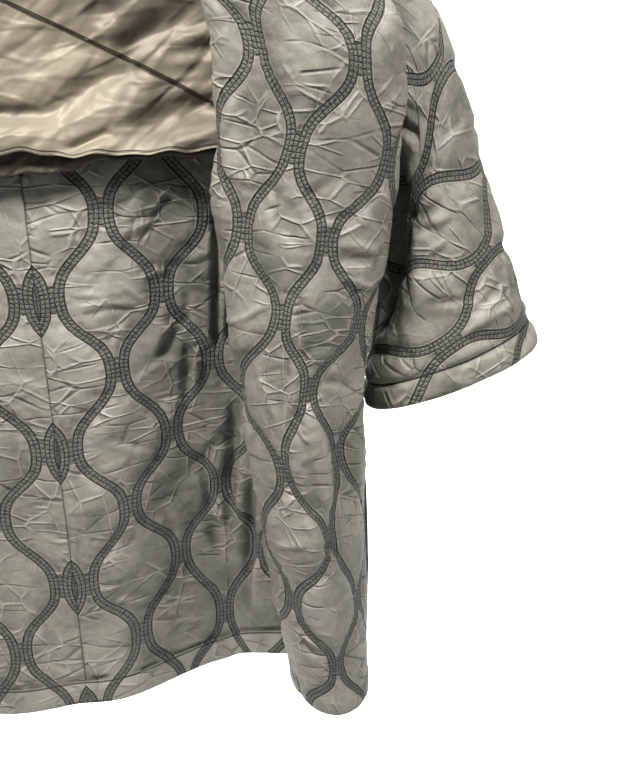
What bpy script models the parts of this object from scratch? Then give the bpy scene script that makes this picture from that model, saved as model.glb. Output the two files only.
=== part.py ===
"""Open quilted parka, hollow as it is worn, with its hood down.

Metres, +Z up. The origin is in the middle of the neck opening, level with the nape.
The wearer faces -Y, and the wearer's left is +X.
"""
from collections import namedtuple

import bmesh
import bpy
import numpy as np

for old in list(bpy.data.objects):
    bpy.data.objects.remove(old, do_unlink=True)

# Walls and seams
QUILT = 0.004
SATIN = 0.0012
FACING = 0.0015
SEAM_GAP = 0.0003
TRIM = SEAM_GAP * 0.8
SAME_PLACE = 0.00002
STEEPEST_MITRE = 0.28

# Neck and shoulders
NECK_HALF_WIDTH = 0.095
NECK_BACK_DEPTH = 0.050
NECK_SIDE_DEPTH = 0.018
NECK_RISE = 0.012
THROAT = (0.125, -0.055, -0.055)
SHOULDER_TIP = (0.300, 0.000, -0.100)

# Shares of a panel's width and length where its sections and stations lie
NECK_SHARE = 0.30
BACK_FLAT_SHARE = 0.68
SECTION_SHARES = (0.0, 0.18, 0.34, 0.53, 0.72, 1.0)
UNDERARM_SHARE = 0.34
FRONT_SHARES = (0.0, 0.18, 0.42, 0.70, 0.84, 1.0)

# Back: the outer face at the centre seam and at the side, and the round between them
BackSection = namedtuple("BackSection", "x_side y_centre y_side corner z_centre z_side")
BACK_SECTIONS = {
    "chest": BackSection(0.328, 0.064, 0.046, 0.040, -0.200, -0.200),
    "underarm": BackSection(0.332, 0.056, 0.022, 0.080, -0.345, -0.340),
    "waist": BackSection(0.308, 0.070, 0.022, 0.090, -0.512, -0.500),
    "hip": BackSection(0.316, 0.088, 0.026, 0.100, -0.690, -0.660),
    "hem": BackSection(0.308, 0.106, 0.032, 0.100, -0.936, -0.862),
}

# Front: from the side, over the flank and the crest, to the roll and the edge turned in behind it
FrontSection = namedtuple("FrontSection", "side flank crest roll turn edge z_side z_edge")
FRONT_SECTIONS = {
    "chest": FrontSection(
        side=(0.330, -0.040), flank=(0.347, -0.070), crest=(0.275, -0.107), roll=(0.194, -0.062),
        turn=(0.198, -0.046), edge=(0.214, -0.038), z_side=-0.200, z_edge=-0.195),
    "underarm": FrontSection(
        side=(0.332, -0.012), flank=(0.345, -0.062), crest=(0.268, -0.104), roll=(0.190, -0.058),
        turn=(0.196, -0.034), edge=(0.220, -0.026), z_side=-0.340, z_edge=-0.340),
    "waist": FrontSection(
        side=(0.308, -0.012), flank=(0.316, -0.058), crest=(0.258, -0.098), roll=(0.200, -0.052),
        turn=(0.204, -0.020), edge=(0.232, -0.006), z_side=-0.500, z_edge=-0.500),
    "hip": FrontSection(
        side=(0.313, -0.008), flank=(0.301, -0.052), crest=(0.262, -0.092), roll=(0.214, -0.045),
        turn=(0.216, 0.000), edge=(0.242, 0.024), z_side=-0.660, z_edge=-0.655),
    "hem": FrontSection(
        side=(0.308, -0.002), flank=(0.309, -0.040), crest=(0.279, -0.076), roll=(0.240, -0.032),
        turn=(0.236, 0.022), edge=(0.256, 0.062), z_side=-0.857, z_edge=-0.843),
}

# Drape folds of the back: a row for each, deepest at the hem and gone at its start height
BackFold = namedtuple("BackFold", "x half_width depth z_start")
BACK_FOLDS = {
    "left_trough": BackFold(0.135, 0.110, 0.026, -0.36),
    "left_ridge": BackFold(0.228, 0.060, -0.018, -0.42),
    "right_ridge": BackFold(-0.110, 0.110, -0.044, -0.36),
    "right_trough": BackFold(-0.215, 0.080, 0.022, -0.42),
}
FOLD_GROWTH = 1.3

# Fold of the front between the crest and the flank: a trough that opens and closes down the panel
FrontFold = namedtuple("FrontFold", "share half_width depth z_middle half_height")
FRONT_FOLDS = {
    "trough": FrontFold(0.290, 0.160, 0.012, -0.605, 0.150),
    "upper_pleat": FrontFold(0.560, 0.095, 0.010, -0.330, 0.210),
}

# Sleeve: its outer and inner line, and half its depth, at each section from the armhole to the cuff
SleeveSection = namedtuple("SleeveSection", "x_outer z_outer x_inner z_inner half_depth y_middle")
SLEEVE_SECTIONS = {
    "head": SleeveSection(0.383, -0.190, 0.346, -0.372, 0.050, 0.006),
    "elbow": SleeveSection(0.426, -0.325, 0.334, -0.440, 0.059, 0.006),
    "forearm": SleeveSection(0.454, -0.424, 0.323, -0.502, 0.062, 0.004),
    "cuff": SleeveSection(0.480, -0.504, 0.316, -0.560, 0.062, 0.002),
}
SLEEVE_SHARES = (0.0, 0.28, 0.55, 0.78, 1.0)

# Hood, lying down: how far each line stands out from the neckline and above it, at nape and throat
HoodLine = namedtuple("HoodLine", "nape_out nape_up throat_out throat_up")
HOOD_LINES = {
    "neck_seam": HoodLine(0.000, 0.000, 0.000, 0.000),
    "stand": HoodLine(0.007, 0.026, 0.002, 0.024),
    "break": HoodLine(0.019, 0.036, 0.009, 0.040),
    "fall": HoodLine(0.031, 0.006, 0.017, 0.034),
    "inner": HoodLine(0.030, -0.096, 0.021, 0.024),
    "floor": HoodLine(0.038, -0.196, 0.026, 0.018),
    "crown": HoodLine(0.066, -0.212, 0.033, 0.020),
    "outer": HoodLine(0.088, -0.120, 0.038, 0.028),
    "face_edge": HoodLine(0.078, 0.018, 0.038, 0.040),
}
HOOD_FALL_START = 0.35
HOOD_CENTRE_FORWARD = 0.05

# Satin back lining: how far it stands off the back, and its chevron seam
LINING_HALF_SHARE = 0.90
LINING_LENGTH = 0.318
LINING_STAND_OFF = 0.017
LINING_CLEARANCE = QUILT + SATIN + 3 * SEAM_GAP
CHEVRON_APEX = 0.180
CHEVRON_FALL = 0.575
CHEVRON_END = 0.026
LINING_TOP_SHARE = 0.040
UNDER_LAYER_HEIGHT = 0.060
UNDER_LAYER_DROP = 0.005
UNDER_LAYER_SAG = 0.017
UNDER_LAYER_SAG_WIDTH = 0.095

# Turned-up facing inside the back hem
HEM_FACING = 0.030
FACING_SET_BACK = 0.0015
FACING_GAP = 0.0006

# Cells of each panel's grid
ARMHOLE_CELLS = 9
BODY_CELLS = 15
BACK_NECK_CELLS = 4
BACK_SHOULDER_CELLS = 9
FRONT_SHOULDER_CELLS = 9
FRONT_NECK_CELLS = 4
SLEEVE_CELLS = 9
HOOD_CELLS = 12
LINING_CELLS = 20
YOKE_CELLS = 5
LINING_BODY_CELLS = 4
UNDER_LAYER_CELLS = 2
STRIP_CELLS = 2
GRID_HALF = 0.5
HEIGHT_SAMPLES = 200
SMOOTH_BELOW = np.radians(50)

collection = bpy.data.collections.new("quilted_parka")
bpy.context.scene.collection.children.link(collection)


def cloth_material(name, colour, roughness):
    material = bpy.data.materials.new(name)
    material.use_nodes = True
    shader = material.node_tree.nodes["Principled BSDF"]
    shader.inputs["Base Color"].default_value = (*colour, 1.0)
    shader.inputs["Roughness"].default_value = roughness
    shader.inputs["Metallic"].default_value = 0.0
    return material


def spline(knots, values, at):
    """Smooth curve through values at knots, read at the places in at."""
    knots = np.asarray(knots, float)
    values = np.asarray(values, float)
    slopes = np.gradient(values, knots, axis=0, edge_order=2)
    first = np.clip(np.searchsorted(knots, at, side="right") - 1, 0, len(knots) - 2)
    step = (knots[first + 1] - knots[first])
    t = (at - knots[first]) / step
    shape = (-1,) + (1,) * (values.ndim - 1)
    t = t.reshape(shape)
    step = step.reshape(shape)
    return ((2 * t**3 - 3 * t**2 + 1) * values[first] + (t**3 - 2 * t**2 + t) * step * slopes[first]
            + (3 * t**2 - 2 * t**3) * values[first + 1] + (t**3 - t**2) * step * slopes[first + 1])


def swell(distance, half_width):
    """1 at the middle of a fold, falling smoothly to 0 at its half width."""
    share = np.clip(np.abs(distance) / half_width, 0, 1)
    return (1 - share**2)**2


def neck_side():
    return np.array((NECK_HALF_WIDTH, NECK_SIDE_DEPTH, NECK_RISE))


def back_neckline(share):
    """Back neckline from the nape (0) to the side of the neck (1)."""
    turn = share * np.pi / 2
    depth = NECK_BACK_DEPTH - NECK_SIDE_DEPTH
    return np.stack([
        NECK_HALF_WIDTH * np.sin(turn),
        NECK_SIDE_DEPTH + depth * np.cos(turn),
        NECK_RISE * (1 - np.cos(turn)),
    ], axis=-1)


def shoulder_line(share):
    """Shoulder seam from the side of the neck (0) to the tip (1)."""
    return neck_side() + np.asarray(share)[..., None] * (np.array(SHOULDER_TIP) - neck_side())


def back_top(u):
    neck = back_neckline(u / NECK_SHARE)
    shoulder = shoulder_line((u - NECK_SHARE) / (1 - NECK_SHARE))
    return np.where((u < NECK_SHARE)[:, None], neck, shoulder)


def back_section(row, u):
    """One level of the back: flat from the centre seam, then a round to the side."""
    turn = np.clip((u - BACK_FLAT_SHARE) / (1 - BACK_FLAT_SHARE), 0, None) * np.pi / 2
    flat = np.minimum(u / BACK_FLAT_SHARE, 1.0)
    x = flat * (row.x_side - row.corner) + row.corner * np.sin(turn)
    y = row.y_side + (row.y_centre - row.y_side) * np.cos(turn)
    drop = 0.5 - 0.5 * np.cos(np.pi * u)
    z = row.z_centre + (row.z_side - row.z_centre) * drop
    return np.stack([x, y, z], axis=-1)


def back_surface(u, v, side):
    """Outer face of half the back: u from the centre seam to the side, v from the top to the hem."""
    rows = [back_top(u)] + [back_section(row, u) for row in BACK_SECTIONS.values()]
    points = spline(SECTION_SHARES, rows, v)
    points[..., 0] *= side
    x, z = points[..., 0], points[..., 2]
    for fold in BACK_FOLDS.values():
        growth = np.clip((fold.z_start - z) / (fold.z_start - BACK_SECTIONS["hem"].z_centre), 0, 1)
        points[..., 1] += fold.depth * growth**FOLD_GROWTH * swell(x - fold.x, fold.half_width)
    return points


def front_top(u):
    """Shoulder seam from its tip to the neck, then the front neckline to the throat."""
    roll = FRONT_SHARES[3]
    shoulder = shoulder_line(1 - u / roll)
    neck = neck_side() + ((u - roll) / (1 - roll))[:, None] * (np.array(THROAT) - neck_side())
    return np.where((u < roll)[:, None], shoulder, neck)


def front_section(row, u):
    """One level of a front, through its stations."""
    stations = np.array([row.side, row.flank, row.crest, row.roll, row.turn, row.edge])
    plan = spline(FRONT_SHARES, stations, u)
    z = row.z_side + (row.z_edge - row.z_side) * u
    return np.column_stack([plan, z])


def front_surface(u, v, side):
    """Outer face of one front: u from the side to the edge, v from the top to the hem."""
    rows = [front_top(u)] + [front_section(row, u) for row in FRONT_SECTIONS.values()]
    points = spline(SECTION_SHARES, rows, v)
    z = points[..., 2]
    for fold in FRONT_FOLDS.values():
        reach = swell(z - fold.z_middle, fold.half_height) * swell(u - fold.share, fold.half_width)
        points[..., 1] += fold.depth * reach
    points[..., 0] *= side
    return points


def gusset_surface(u, v, side):
    """Dark side strip, from the back's side edge (0) to the front's side edge (1)."""
    back_edge = back_surface(np.array([1.0]), v, side)
    front_edge = front_surface(np.array(FRONT_SHARES), v, side)[:, :1]
    return back_edge + u[None, :, None] * (front_edge - back_edge)


def surface_normals(points, turned, closed=False):
    """Unit normals of a grid of points, out of the garment. A closed grid wraps round a tube."""
    along = np.gradient(points, axis=1)
    if closed:
        along[:, 0] = along[:, -1] = (points[:, 1] - points[:, -2]) / 2
    down = np.gradient(points, axis=0)
    normals = np.cross(along, down) * turned
    return normals / np.linalg.norm(normals, axis=-1, keepdims=True)


class Panel:
    """A piece of cloth: a grid of points on its outer face, and the way through its wall."""

    def __init__(self, name, points, turned, thickness, material, closed=False):
        self.name = name
        self.points = points
        self.normals = surface_normals(points, turned, closed)
        self.thickness = thickness
        self.material = material
        self.inward = -self.normals * thickness

    def edge_places(self):
        rows, columns = self.points.shape[:2]
        return [(i, j) for i in range(rows) for j in range(columns)
                if i in (0, rows - 1) or j in (0, columns - 1)]

    def way_in(self, i, j):
        """Unit way from a point of the edge into the piece."""
        rows, columns = self.points.shape[:2]
        edges = ((1, 0, i == 0), (-1, 0, i == rows - 1), (0, 1, j == 0), (0, -1, j == columns - 1))
        way = np.zeros(3)
        for step_i, step_j, met in edges:
            if met:
                step = self.points[i + step_i, j + step_j] - self.points[i, j]
                way += step / np.linalg.norm(step)
        return way / np.linalg.norm(way)

    def build(self):
        """Flat grid, doubled into a wall, then laid in its place."""
        rows, columns = self.points.shape[:2]
        mesh = bpy.data.meshes.new(self.name)
        cloth = bmesh.new()
        bmesh.ops.create_grid(cloth, x_segments=columns - 1, y_segments=rows - 1, size=GRID_HALF)
        wall = bmesh.ops.extrude_face_region(cloth, geom=cloth.faces[:], use_keep_orig=True)
        inside = {corner for corner in wall["geom"] if isinstance(corner, bmesh.types.BMVert)}
        for corner in cloth.verts:
            i = round((corner.co.y + GRID_HALF) * (rows - 1))
            j = round((corner.co.x + GRID_HALF) * (columns - 1))
            corner.co = self.points[i, j] + (self.inward[i, j] if corner in inside else 0)
        bmesh.ops.triangulate(cloth, faces=cloth.faces[:], quad_method="SHORT_EDGE")
        bmesh.ops.recalc_face_normals(cloth, faces=cloth.faces[:])
        if cloth.calc_volume(signed=True) < 0:
            bmesh.ops.reverse_faces(cloth, faces=cloth.faces[:])
        cloth.to_mesh(mesh)
        cloth.free()
        mesh.materials.append(self.material)
        mesh.shade_smooth()
        mesh.set_sharp_from_angle(angle=SMOOTH_BELOW)
        collection.objects.link(bpy.data.objects.new(self.name, mesh))


def match_seams(panels):
    """Walls that meet share the mean of their normals, so their edges lie face to face, a gap apart."""
    meetings = {}
    for panel in panels:
        for i, j in panel.edge_places():
            place = tuple(np.round(panel.points[i, j] / SAME_PLACE).astype(int))
            meetings.setdefault(place, []).append((panel, i, j))
    shifts = []
    for meeting in meetings.values():
        mean = sum(panel.normals[i, j] for panel, i, j in meeting)
        mean /= np.linalg.norm(mean)
        ways = [panel.way_in(i, j) for panel, i, j in meeting]
        folded_in = mean @ sum(ways) < 0
        for (panel, i, j), way in zip(meeting, ways):
            lean = max(mean @ panel.normals[i, j], STEEPEST_MITRE) if folded_in else 1.0
            panel.inward[i, j] = -mean * panel.thickness / lean
            if len(meeting) > 1:
                apart = way - sum(ways) / len(ways)
                apart -= mean * (mean @ apart)
                shifts.append((panel, i, j, apart / np.linalg.norm(apart) * TRIM))
    for panel, i, j, shift in shifts:
        panel.points[i, j] += shift


def sleeve_points(back, front, gusset, side):
    """Sleeve from the armhole's own points to the cuff, wrapped round from its underarm seam."""
    low = ARMHOLE_CELLS
    middle = gusset.points[0, 1:2]
    armhole = np.concatenate([
        middle, back.points[low::-1, -1], front.points[1:low + 1, 0], middle,
    ])
    turn = np.linspace(0, 2 * np.pi, len(armhole))
    rings = [armhole]
    for row in SLEEVE_SECTIONS.values():
        outer = np.array((row.x_outer, row.y_middle, row.z_outer))
        inner = np.array((row.x_inner, row.y_middle, row.z_inner))
        across = -np.cos(turn)[:, None] * (outer - inner) / 2
        through = np.sin(turn)[:, None] * np.array((0, row.half_depth, 0))
        ring = (outer + inner) / 2 + across + through
        ring[:, 0] *= side
        rings.append(ring)
    return spline(SLEEVE_SHARES, rings, np.linspace(0, 1, SLEEVE_CELLS + 1))


def hood_points(back, front, side):
    """Half of the lowered hood, from the neckline's own points over its lines to the face edge."""
    throat_to_neck = front.points[0, :-FRONT_NECK_CELLS - 2:-1]
    neck_to_nape = back.points[0, BACK_NECK_CELLS - 1::-1]
    neckline = np.concatenate([throat_to_neck, neck_to_nape])
    share = np.linspace(0, 1, len(neckline))
    to_nape = np.clip((share - HOOD_FALL_START) / (1 - HOOD_FALL_START), 0, 1)
    to_nape = (to_nape**2 * (3 - 2 * to_nape))[:, None]
    away = neckline * (1, 1, 0) + (0, HOOD_CENTRE_FORWARD, 0)
    away /= np.linalg.norm(away, axis=-1, keepdims=True)
    lines = []
    for line in HOOD_LINES.values():
        out = line.throat_out + (line.nape_out - line.throat_out) * to_nape
        up = line.throat_up + (line.nape_up - line.throat_up) * to_nape
        lines.append(neckline + away * out + up * np.array((0, 0, 1)))
    return spline(np.linspace(0, 1, len(lines)), lines, np.linspace(0, 1, HOOD_CELLS + 1))


def share_at_height(u, side, z):
    """How far down the back's length a height lies, on the column at u."""
    shares = np.linspace(0, 1, HEIGHT_SAMPLES)
    heights = back_surface(np.array([u]), shares, side)[:, 0, 2]
    return np.interp(-z, -heights, shares)


def back_heights(columns, share):
    """Points of the whole back at one share of its length, right half at negative columns."""
    halves = [back_surface(np.abs(columns), np.array([share]), side)[0] for side in (1, -1)]
    return np.where((columns >= 0)[:, None], *halves)


def inside_back(columns, tops, bottoms, rows):
    """Grid of points on the back's outer face between two heights, for what lies inside it."""
    points = []
    for u, top, bottom in zip(columns, tops, bottoms):
        side = 1 if u >= 0 else -1
        first, last = share_at_height(abs(u), side, top), share_at_height(abs(u), side, bottom)
        points.append(back_surface(np.array([abs(u)]), np.linspace(first, last, rows + 1), side)[:, 0])
    return np.stack(points, axis=1)


def lining_stand_off(points):
    """The satin is sewn in at the top and hangs free of the quilting below."""
    fall = np.clip(-points[..., 2:] / LINING_LENGTH, 0, 1)
    return LINING_STAND_OFF * fall**2


quilting = cloth_material("quilting", (0.16, 0.155, 0.125), 0.75)
satin = cloth_material("satin", (0.20, 0.175, 0.13), 0.40)
side_knit = cloth_material("side_knit", (0.012, 0.012, 0.012), 0.90)
facing_cloth = cloth_material("hem_facing", (0.17, 0.165, 0.135), 0.75)

panels = []
upper = np.linspace(0, UNDERARM_SHARE, ARMHOLE_CELLS + 1)
lower = np.linspace(UNDERARM_SHARE, 1, BODY_CELLS + 1)
body_v = np.concatenate([upper, lower[1:]])
back_u = np.concatenate([
    np.linspace(0, NECK_SHARE, BACK_NECK_CELLS + 1), np.linspace(NECK_SHARE, 1, BACK_SHOULDER_CELLS + 1)[1:],
])
front_u = np.concatenate([
    np.linspace(0, FRONT_SHARES[3], FRONT_SHOULDER_CELLS + 1),
    np.linspace(FRONT_SHARES[3], 1, FRONT_NECK_CELLS + 1)[1:],
])
gusset_u = np.linspace(0, 1, STRIP_CELLS + 1)

for hand, side in (("left", 1), ("right", -1)):
    back = Panel(f"back_{hand}", back_surface(back_u, body_v, side), side, QUILT, quilting)
    front = Panel(f"front_{hand}", front_surface(front_u, body_v, side), side, QUILT, quilting)
    gusset = Panel(f"side_strip_{hand}", gusset_surface(gusset_u, lower, side), side, QUILT, side_knit)
    sleeve = Panel(f"sleeve_{hand}", sleeve_points(back, front, gusset, side), side, QUILT, quilting, True)
    hood = Panel(f"hood_{hand}", hood_points(back, front, side), side, QUILT, quilting)
    panels += [back, front, gusset, sleeve, hood]
match_seams(panels)

lining_u = np.linspace(-LINING_HALF_SHARE, LINING_HALF_SHARE, LINING_CELLS + 1)
lining_x = back_heights(lining_u, UNDERARM_SHARE)[:, 0]
sewn_edge = back_heights(lining_u, LINING_TOP_SHARE)[:, 2]
free_edge = np.full_like(lining_u, -LINING_LENGTH)
chevron = np.maximum(-CHEVRON_APEX - CHEVRON_FALL * np.abs(lining_x), free_edge + CHEVRON_END)
under_edge = free_edge - UNDER_LAYER_DROP - UNDER_LAYER_SAG * swell(lining_x, UNDER_LAYER_SAG_WIDTH)
lining_pieces = (
    ("lining_yoke", sewn_edge, chevron, YOKE_CELLS, 0),
    ("lining_body", chevron, free_edge, LINING_BODY_CELLS, 0),
    ("lining_under", free_edge + UNDER_LAYER_HEIGHT, under_edge, UNDER_LAYER_CELLS, SATIN + SEAM_GAP),
)
linings = []
for name, tops, bottoms, rows, behind in lining_pieces:
    on_back = inside_back(lining_u, tops, bottoms, rows)
    off_the_back = LINING_CLEARANCE + lining_stand_off(on_back) - behind
    linings.append(Panel(name, on_back - off_the_back * np.array((0, 1, 0)), 1, SATIN, satin))
match_seams(linings[:2])

facings = []
for hand, side in (("left", 1), ("right", -1)):
    back = next(panel for panel in panels if panel.name == f"back_{hand}")
    above, hem = (back.points[row, :-1] + back.inward[row, :-1] for row in (-2, -1))
    height = np.linalg.norm(above - hem, axis=-1, keepdims=True)
    top = hem + (above - hem) / height * HEM_FACING
    low = hem + (above - hem) / height * FACING_SET_BACK
    points = np.stack([top, low]) + back.inward[-2:, :-1] / QUILT * FACING_GAP
    points[:, 0, 0] = side * TRIM
    facing = Panel(f"hem_facing_{hand}", points, side, FACING, facing_cloth)
    facing.inward[:, 0, 0] = 0
    facings.append(facing)

for panel in panels + linings + facings:
    panel.build()
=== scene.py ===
"""Open quilted parka with its hood down, hollow as it is worn.

Metres, +Z up. The wearer faces -Y, and the wearer's left is +X.
"""
from collections import namedtuple

import bmesh
import bpy
import numpy as np
from mathutils import Matrix, Vector


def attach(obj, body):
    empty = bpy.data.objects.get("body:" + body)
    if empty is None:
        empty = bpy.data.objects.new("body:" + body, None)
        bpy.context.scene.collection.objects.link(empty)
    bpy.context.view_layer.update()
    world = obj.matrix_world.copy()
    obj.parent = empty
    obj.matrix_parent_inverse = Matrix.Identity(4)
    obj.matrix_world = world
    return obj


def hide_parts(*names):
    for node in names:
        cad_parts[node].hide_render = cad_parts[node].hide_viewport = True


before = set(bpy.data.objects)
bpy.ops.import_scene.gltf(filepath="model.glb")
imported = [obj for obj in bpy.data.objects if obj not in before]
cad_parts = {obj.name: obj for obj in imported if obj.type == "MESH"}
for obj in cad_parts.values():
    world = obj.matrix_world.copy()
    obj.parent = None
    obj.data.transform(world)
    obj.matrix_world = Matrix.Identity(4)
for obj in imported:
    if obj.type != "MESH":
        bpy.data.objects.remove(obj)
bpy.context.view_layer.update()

# Back, two halves. Thin wadding between two layers of washed nylon, quilted with waving bands of
# stitching that kiss their neighbours in an onion pattern. The halves are sewn together down the
# centre back, where the hem dips, and both faces are the same cloth.
SIDES = (("left", 1), ("right", -1))
WALL = 0.004
NECK_HALF_WIDTH = 0.095
NECK_BACK_DEPTH = 0.050
NECK_SIDE_DEPTH = 0.018
NECK_RISE = 0.012
SHOULDER_TIP = np.array((0.300, 0.000, -0.100))
NECK_SIDE = np.array((NECK_HALF_WIDTH, NECK_SIDE_DEPTH, NECK_RISE))
NECK_SHARE = 0.30
BACK_FLAT_SHARE = 0.68
SECTION_SHARES = (0.0, 0.18, 0.34, 0.53, 0.72, 1.0)
UNDERARM_SHARE = 0.34
BackSection = namedtuple("BackSection", "x_side y_centre y_side corner z_centre z_side")
BACK_SECTIONS = {
    "chest": BackSection(0.328, 0.064, 0.046, 0.040, -0.200, -0.200),
    "underarm": BackSection(0.332, 0.056, 0.022, 0.080, -0.345, -0.340),
    "waist": BackSection(0.308, 0.070, 0.022, 0.090, -0.512, -0.500),
    "hip": BackSection(0.316, 0.088, 0.026, 0.100, -0.690, -0.660),
    "hem": BackSection(0.308, 0.106, 0.032, 0.100, -0.936, -0.862),
}
BackFold = namedtuple("BackFold", "x half_width depth z_start")
BACK_FOLDS = {
    "left_trough": BackFold(0.135, 0.110, 0.026, -0.36),
    "left_ridge": BackFold(0.228, 0.060, -0.018, -0.42),
    "right_ridge": BackFold(-0.110, 0.110, -0.044, -0.36),
    "right_trough": BackFold(-0.215, 0.080, 0.022, -0.42),
}
FOLD_GROWTH = 1.3


def spline(knots, values, at):
    """Smooth curve through values at knots, read at the places in at."""
    knots = np.asarray(knots, float)
    values = np.asarray(values, float)
    slopes = np.gradient(values, knots, axis=0, edge_order=2)
    first = np.clip(np.searchsorted(knots, at, side="right") - 1, 0, len(knots) - 2)
    step = knots[first + 1] - knots[first]
    t = (at - knots[first]) / step
    shape = (-1,) + (1,) * (values.ndim - 1)
    t = t.reshape(shape)
    step = step.reshape(shape)
    return ((2 * t**3 - 3 * t**2 + 1) * values[first] + (t**3 - 2 * t**2 + t) * step * slopes[first]
            + (3 * t**2 - 2 * t**3) * values[first + 1] + (t**3 - t**2) * step * slopes[first + 1])


def swell(distance, half_width):
    """1 at the middle of a fold, falling smoothly to 0 at its half width."""
    share = np.clip(np.abs(distance) / half_width, 0, 1)
    return (1 - share**2)**2


def shoulder_line(share):
    """Shoulder seam from the side of the neck (0) to the tip (1)."""
    return NECK_SIDE + share[:, None] * (SHOULDER_TIP - NECK_SIDE)


def back_top(u):
    """Back neckline from the nape, then the shoulder seam."""
    turn = u / NECK_SHARE * np.pi / 2
    neck = np.stack([
        NECK_HALF_WIDTH * np.sin(turn),
        NECK_SIDE_DEPTH + (NECK_BACK_DEPTH - NECK_SIDE_DEPTH) * np.cos(turn),
        NECK_RISE * (1 - np.cos(turn)),
    ], axis=-1)
    shoulder = shoulder_line((u - NECK_SHARE) / (1 - NECK_SHARE))
    return np.where((u < NECK_SHARE)[:, None], neck, shoulder)


def back_section(row, u):
    """One level of the back: flat from the centre seam, then a round to the side."""
    turn = np.clip((u - BACK_FLAT_SHARE) / (1 - BACK_FLAT_SHARE), 0, None) * np.pi / 2
    flat = np.minimum(u / BACK_FLAT_SHARE, 1.0)
    x = flat * (row.x_side - row.corner) + row.corner * np.sin(turn)
    y = row.y_side + (row.y_centre - row.y_side) * np.cos(turn)
    drop = 0.5 - 0.5 * np.cos(np.pi * u)
    z = row.z_centre + (row.z_side - row.z_centre) * drop
    return np.stack([x, y, z], axis=-1)


def back_surface(u, v, side):
    """Outer face of half the back: u from the centre seam to the side, v from the top to the hem."""
    rows = [back_top(u)] + [back_section(row, u) for row in BACK_SECTIONS.values()]
    points = spline(SECTION_SHARES, rows, v)
    points[..., 0] *= side
    x, z = points[..., 0], points[..., 2]
    for fold in BACK_FOLDS.values():
        growth = np.clip((fold.z_start - z) / (fold.z_start - BACK_SECTIONS["hem"].z_centre), 0, 1)
        points[..., 1] += fold.depth * growth**FOLD_GROWTH * swell(x - fold.x, fold.half_width)
    return points


def surface_normals(points, side):
    """Unit normals of a laid panel, out of the garment."""
    normals = np.cross(np.gradient(points, axis=1), np.gradient(points, axis=0)) * side
    return normals / np.linalg.norm(normals, axis=-1, keepdims=True)


def cut_lengths(points, level_row):
    """Lengths over a laid panel: across from its first column, and down from its level row."""
    across = np.zeros(points.shape[:2])
    across[:, 1:] = np.cumsum(np.linalg.norm(np.diff(points, axis=1), axis=-1), axis=1)
    down = np.zeros(points.shape[:2])
    down[1:] = np.cumsum(np.linalg.norm(np.diff(points, axis=0), axis=-1), axis=0)
    return across, down - down[level_row]


# The quilting's bands: x = start + i * pitch, swinging to and fro by turns along the wave's length
BAND_PITCH = 0.051
BAND_WIDTH = 0.0104
BAND_START = -0.009
WAVE_LENGTH = 0.1638
KISS_SPACING = 0.0132
KISS_REACH = 0.0162
KISS_EASE = 0.2
WAVE_SWING = (BAND_PITCH - KISS_SPACING) / 2
WAVE_SQUARE = 0.07
STITCHED = 0.0008
PUFF = 0.0032
PUFF_RUN = 0.0050
PUCKER = 0.0009
PUCKER_RUN = 0.0070
PUCKER_START = 0.001
PUCKER_SKEW = 40
PUCKER_WAVES = ((0.0131, 0.6), (0.0087, 0.5))
BEND_UNIT = 0.1
BEND_EASE = 0.01
ALMOST_NONE = 1e-12
SEAM_PULL = 0.0050
SEAM_DEPTH = 0.0030
EDGE_ROLL = 0.0060
RUMPLE = 0.0011
RUMPLE_WAVES = 9
RUMPLE_LENGTHS = (0.045, 0.130)
WORN_AND_SHADED_HEIGHT = 0.0012


def onion_bands(s, t):
    """Gap to the nearest band or kiss in the flat cloth, and the place along that band."""
    turn = 2 * np.pi * t / WAVE_LENGTH
    swing = WAVE_SWING * (np.cos(turn) - WAVE_SQUARE * np.cos(3 * turn)) / (1 - WAVE_SQUARE)
    lean = 2 * np.pi / WAVE_LENGTH * WAVE_SWING / (1 - WAVE_SQUARE)
    lean = lean * (3 * WAVE_SQUARE * np.sin(3 * turn) - np.sin(turn))
    even = (s - BAND_START - swing + BAND_PITCH) % (2 * BAND_PITCH) - BAND_PITCH
    odd = (s - BAND_START + swing) % (2 * BAND_PITCH) - BAND_PITCH
    on_even = np.abs(even) < np.abs(odd)
    offset = np.where(on_even, even, odd)
    lean = np.where(on_even, lean, -lean)
    gap = np.clip(np.abs(offset) / np.sqrt(1 + lean**2) - BAND_WIDTH / 2, 0, None)
    apart = np.clip((np.abs(even) + np.abs(odd)) / KISS_REACH - 1, 0, KISS_EASE) / KISS_EASE
    return gap * apart, t + offset * lean / (1 + lean**2)


# The camera, fitted to the photo, and turned in degrees. Through it a mark that was read off the photo,
# in pixels from its top left corner, is found again on the cloth.
PHOTO_WIDTH = 630
PHOTO_HEIGHT = 759
CAMERA_PLACE = np.array((0.27, -1.09, -0.20))
CAMERA_TILT = 73
CAMERA_ROLL = -2.25
CAMERA_TURN = (Matrix.Rotation(np.radians(CAMERA_TILT), 3, "X")
               @ Matrix.Rotation(np.radians(CAMERA_ROLL), 3, "Z"))
SENSOR_HEIGHT = 36.0
LENS = 56.92
MARK_U = np.linspace(0, 1, 241)
MARK_V = np.linspace(0, 1, 641)
Kiss = namedtuple("Kiss", "across down column level")
KissMark = namedtuple("KissMark", "x y column level")
Crease = namedtuple("Crease", "across down across_end down_end height width")
CreaseMark = namedtuple("CreaseMark", "x y x_end y_end height width")
SeenCloth = namedtuple("SeenCloth", "pixels facing across down")


def photo_pixels(points):
    """Where points of the cloth show in the photo."""
    seen = (points - CAMERA_PLACE) @ np.array(CAMERA_TURN)
    scale = -LENS / SENSOR_HEIGHT * PHOTO_HEIGHT / seen[..., 2]
    return np.stack([PHOTO_WIDTH / 2 + scale * seen[..., 0],
                     PHOTO_HEIGHT / 2 - scale * seen[..., 1]], axis=-1)


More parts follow.
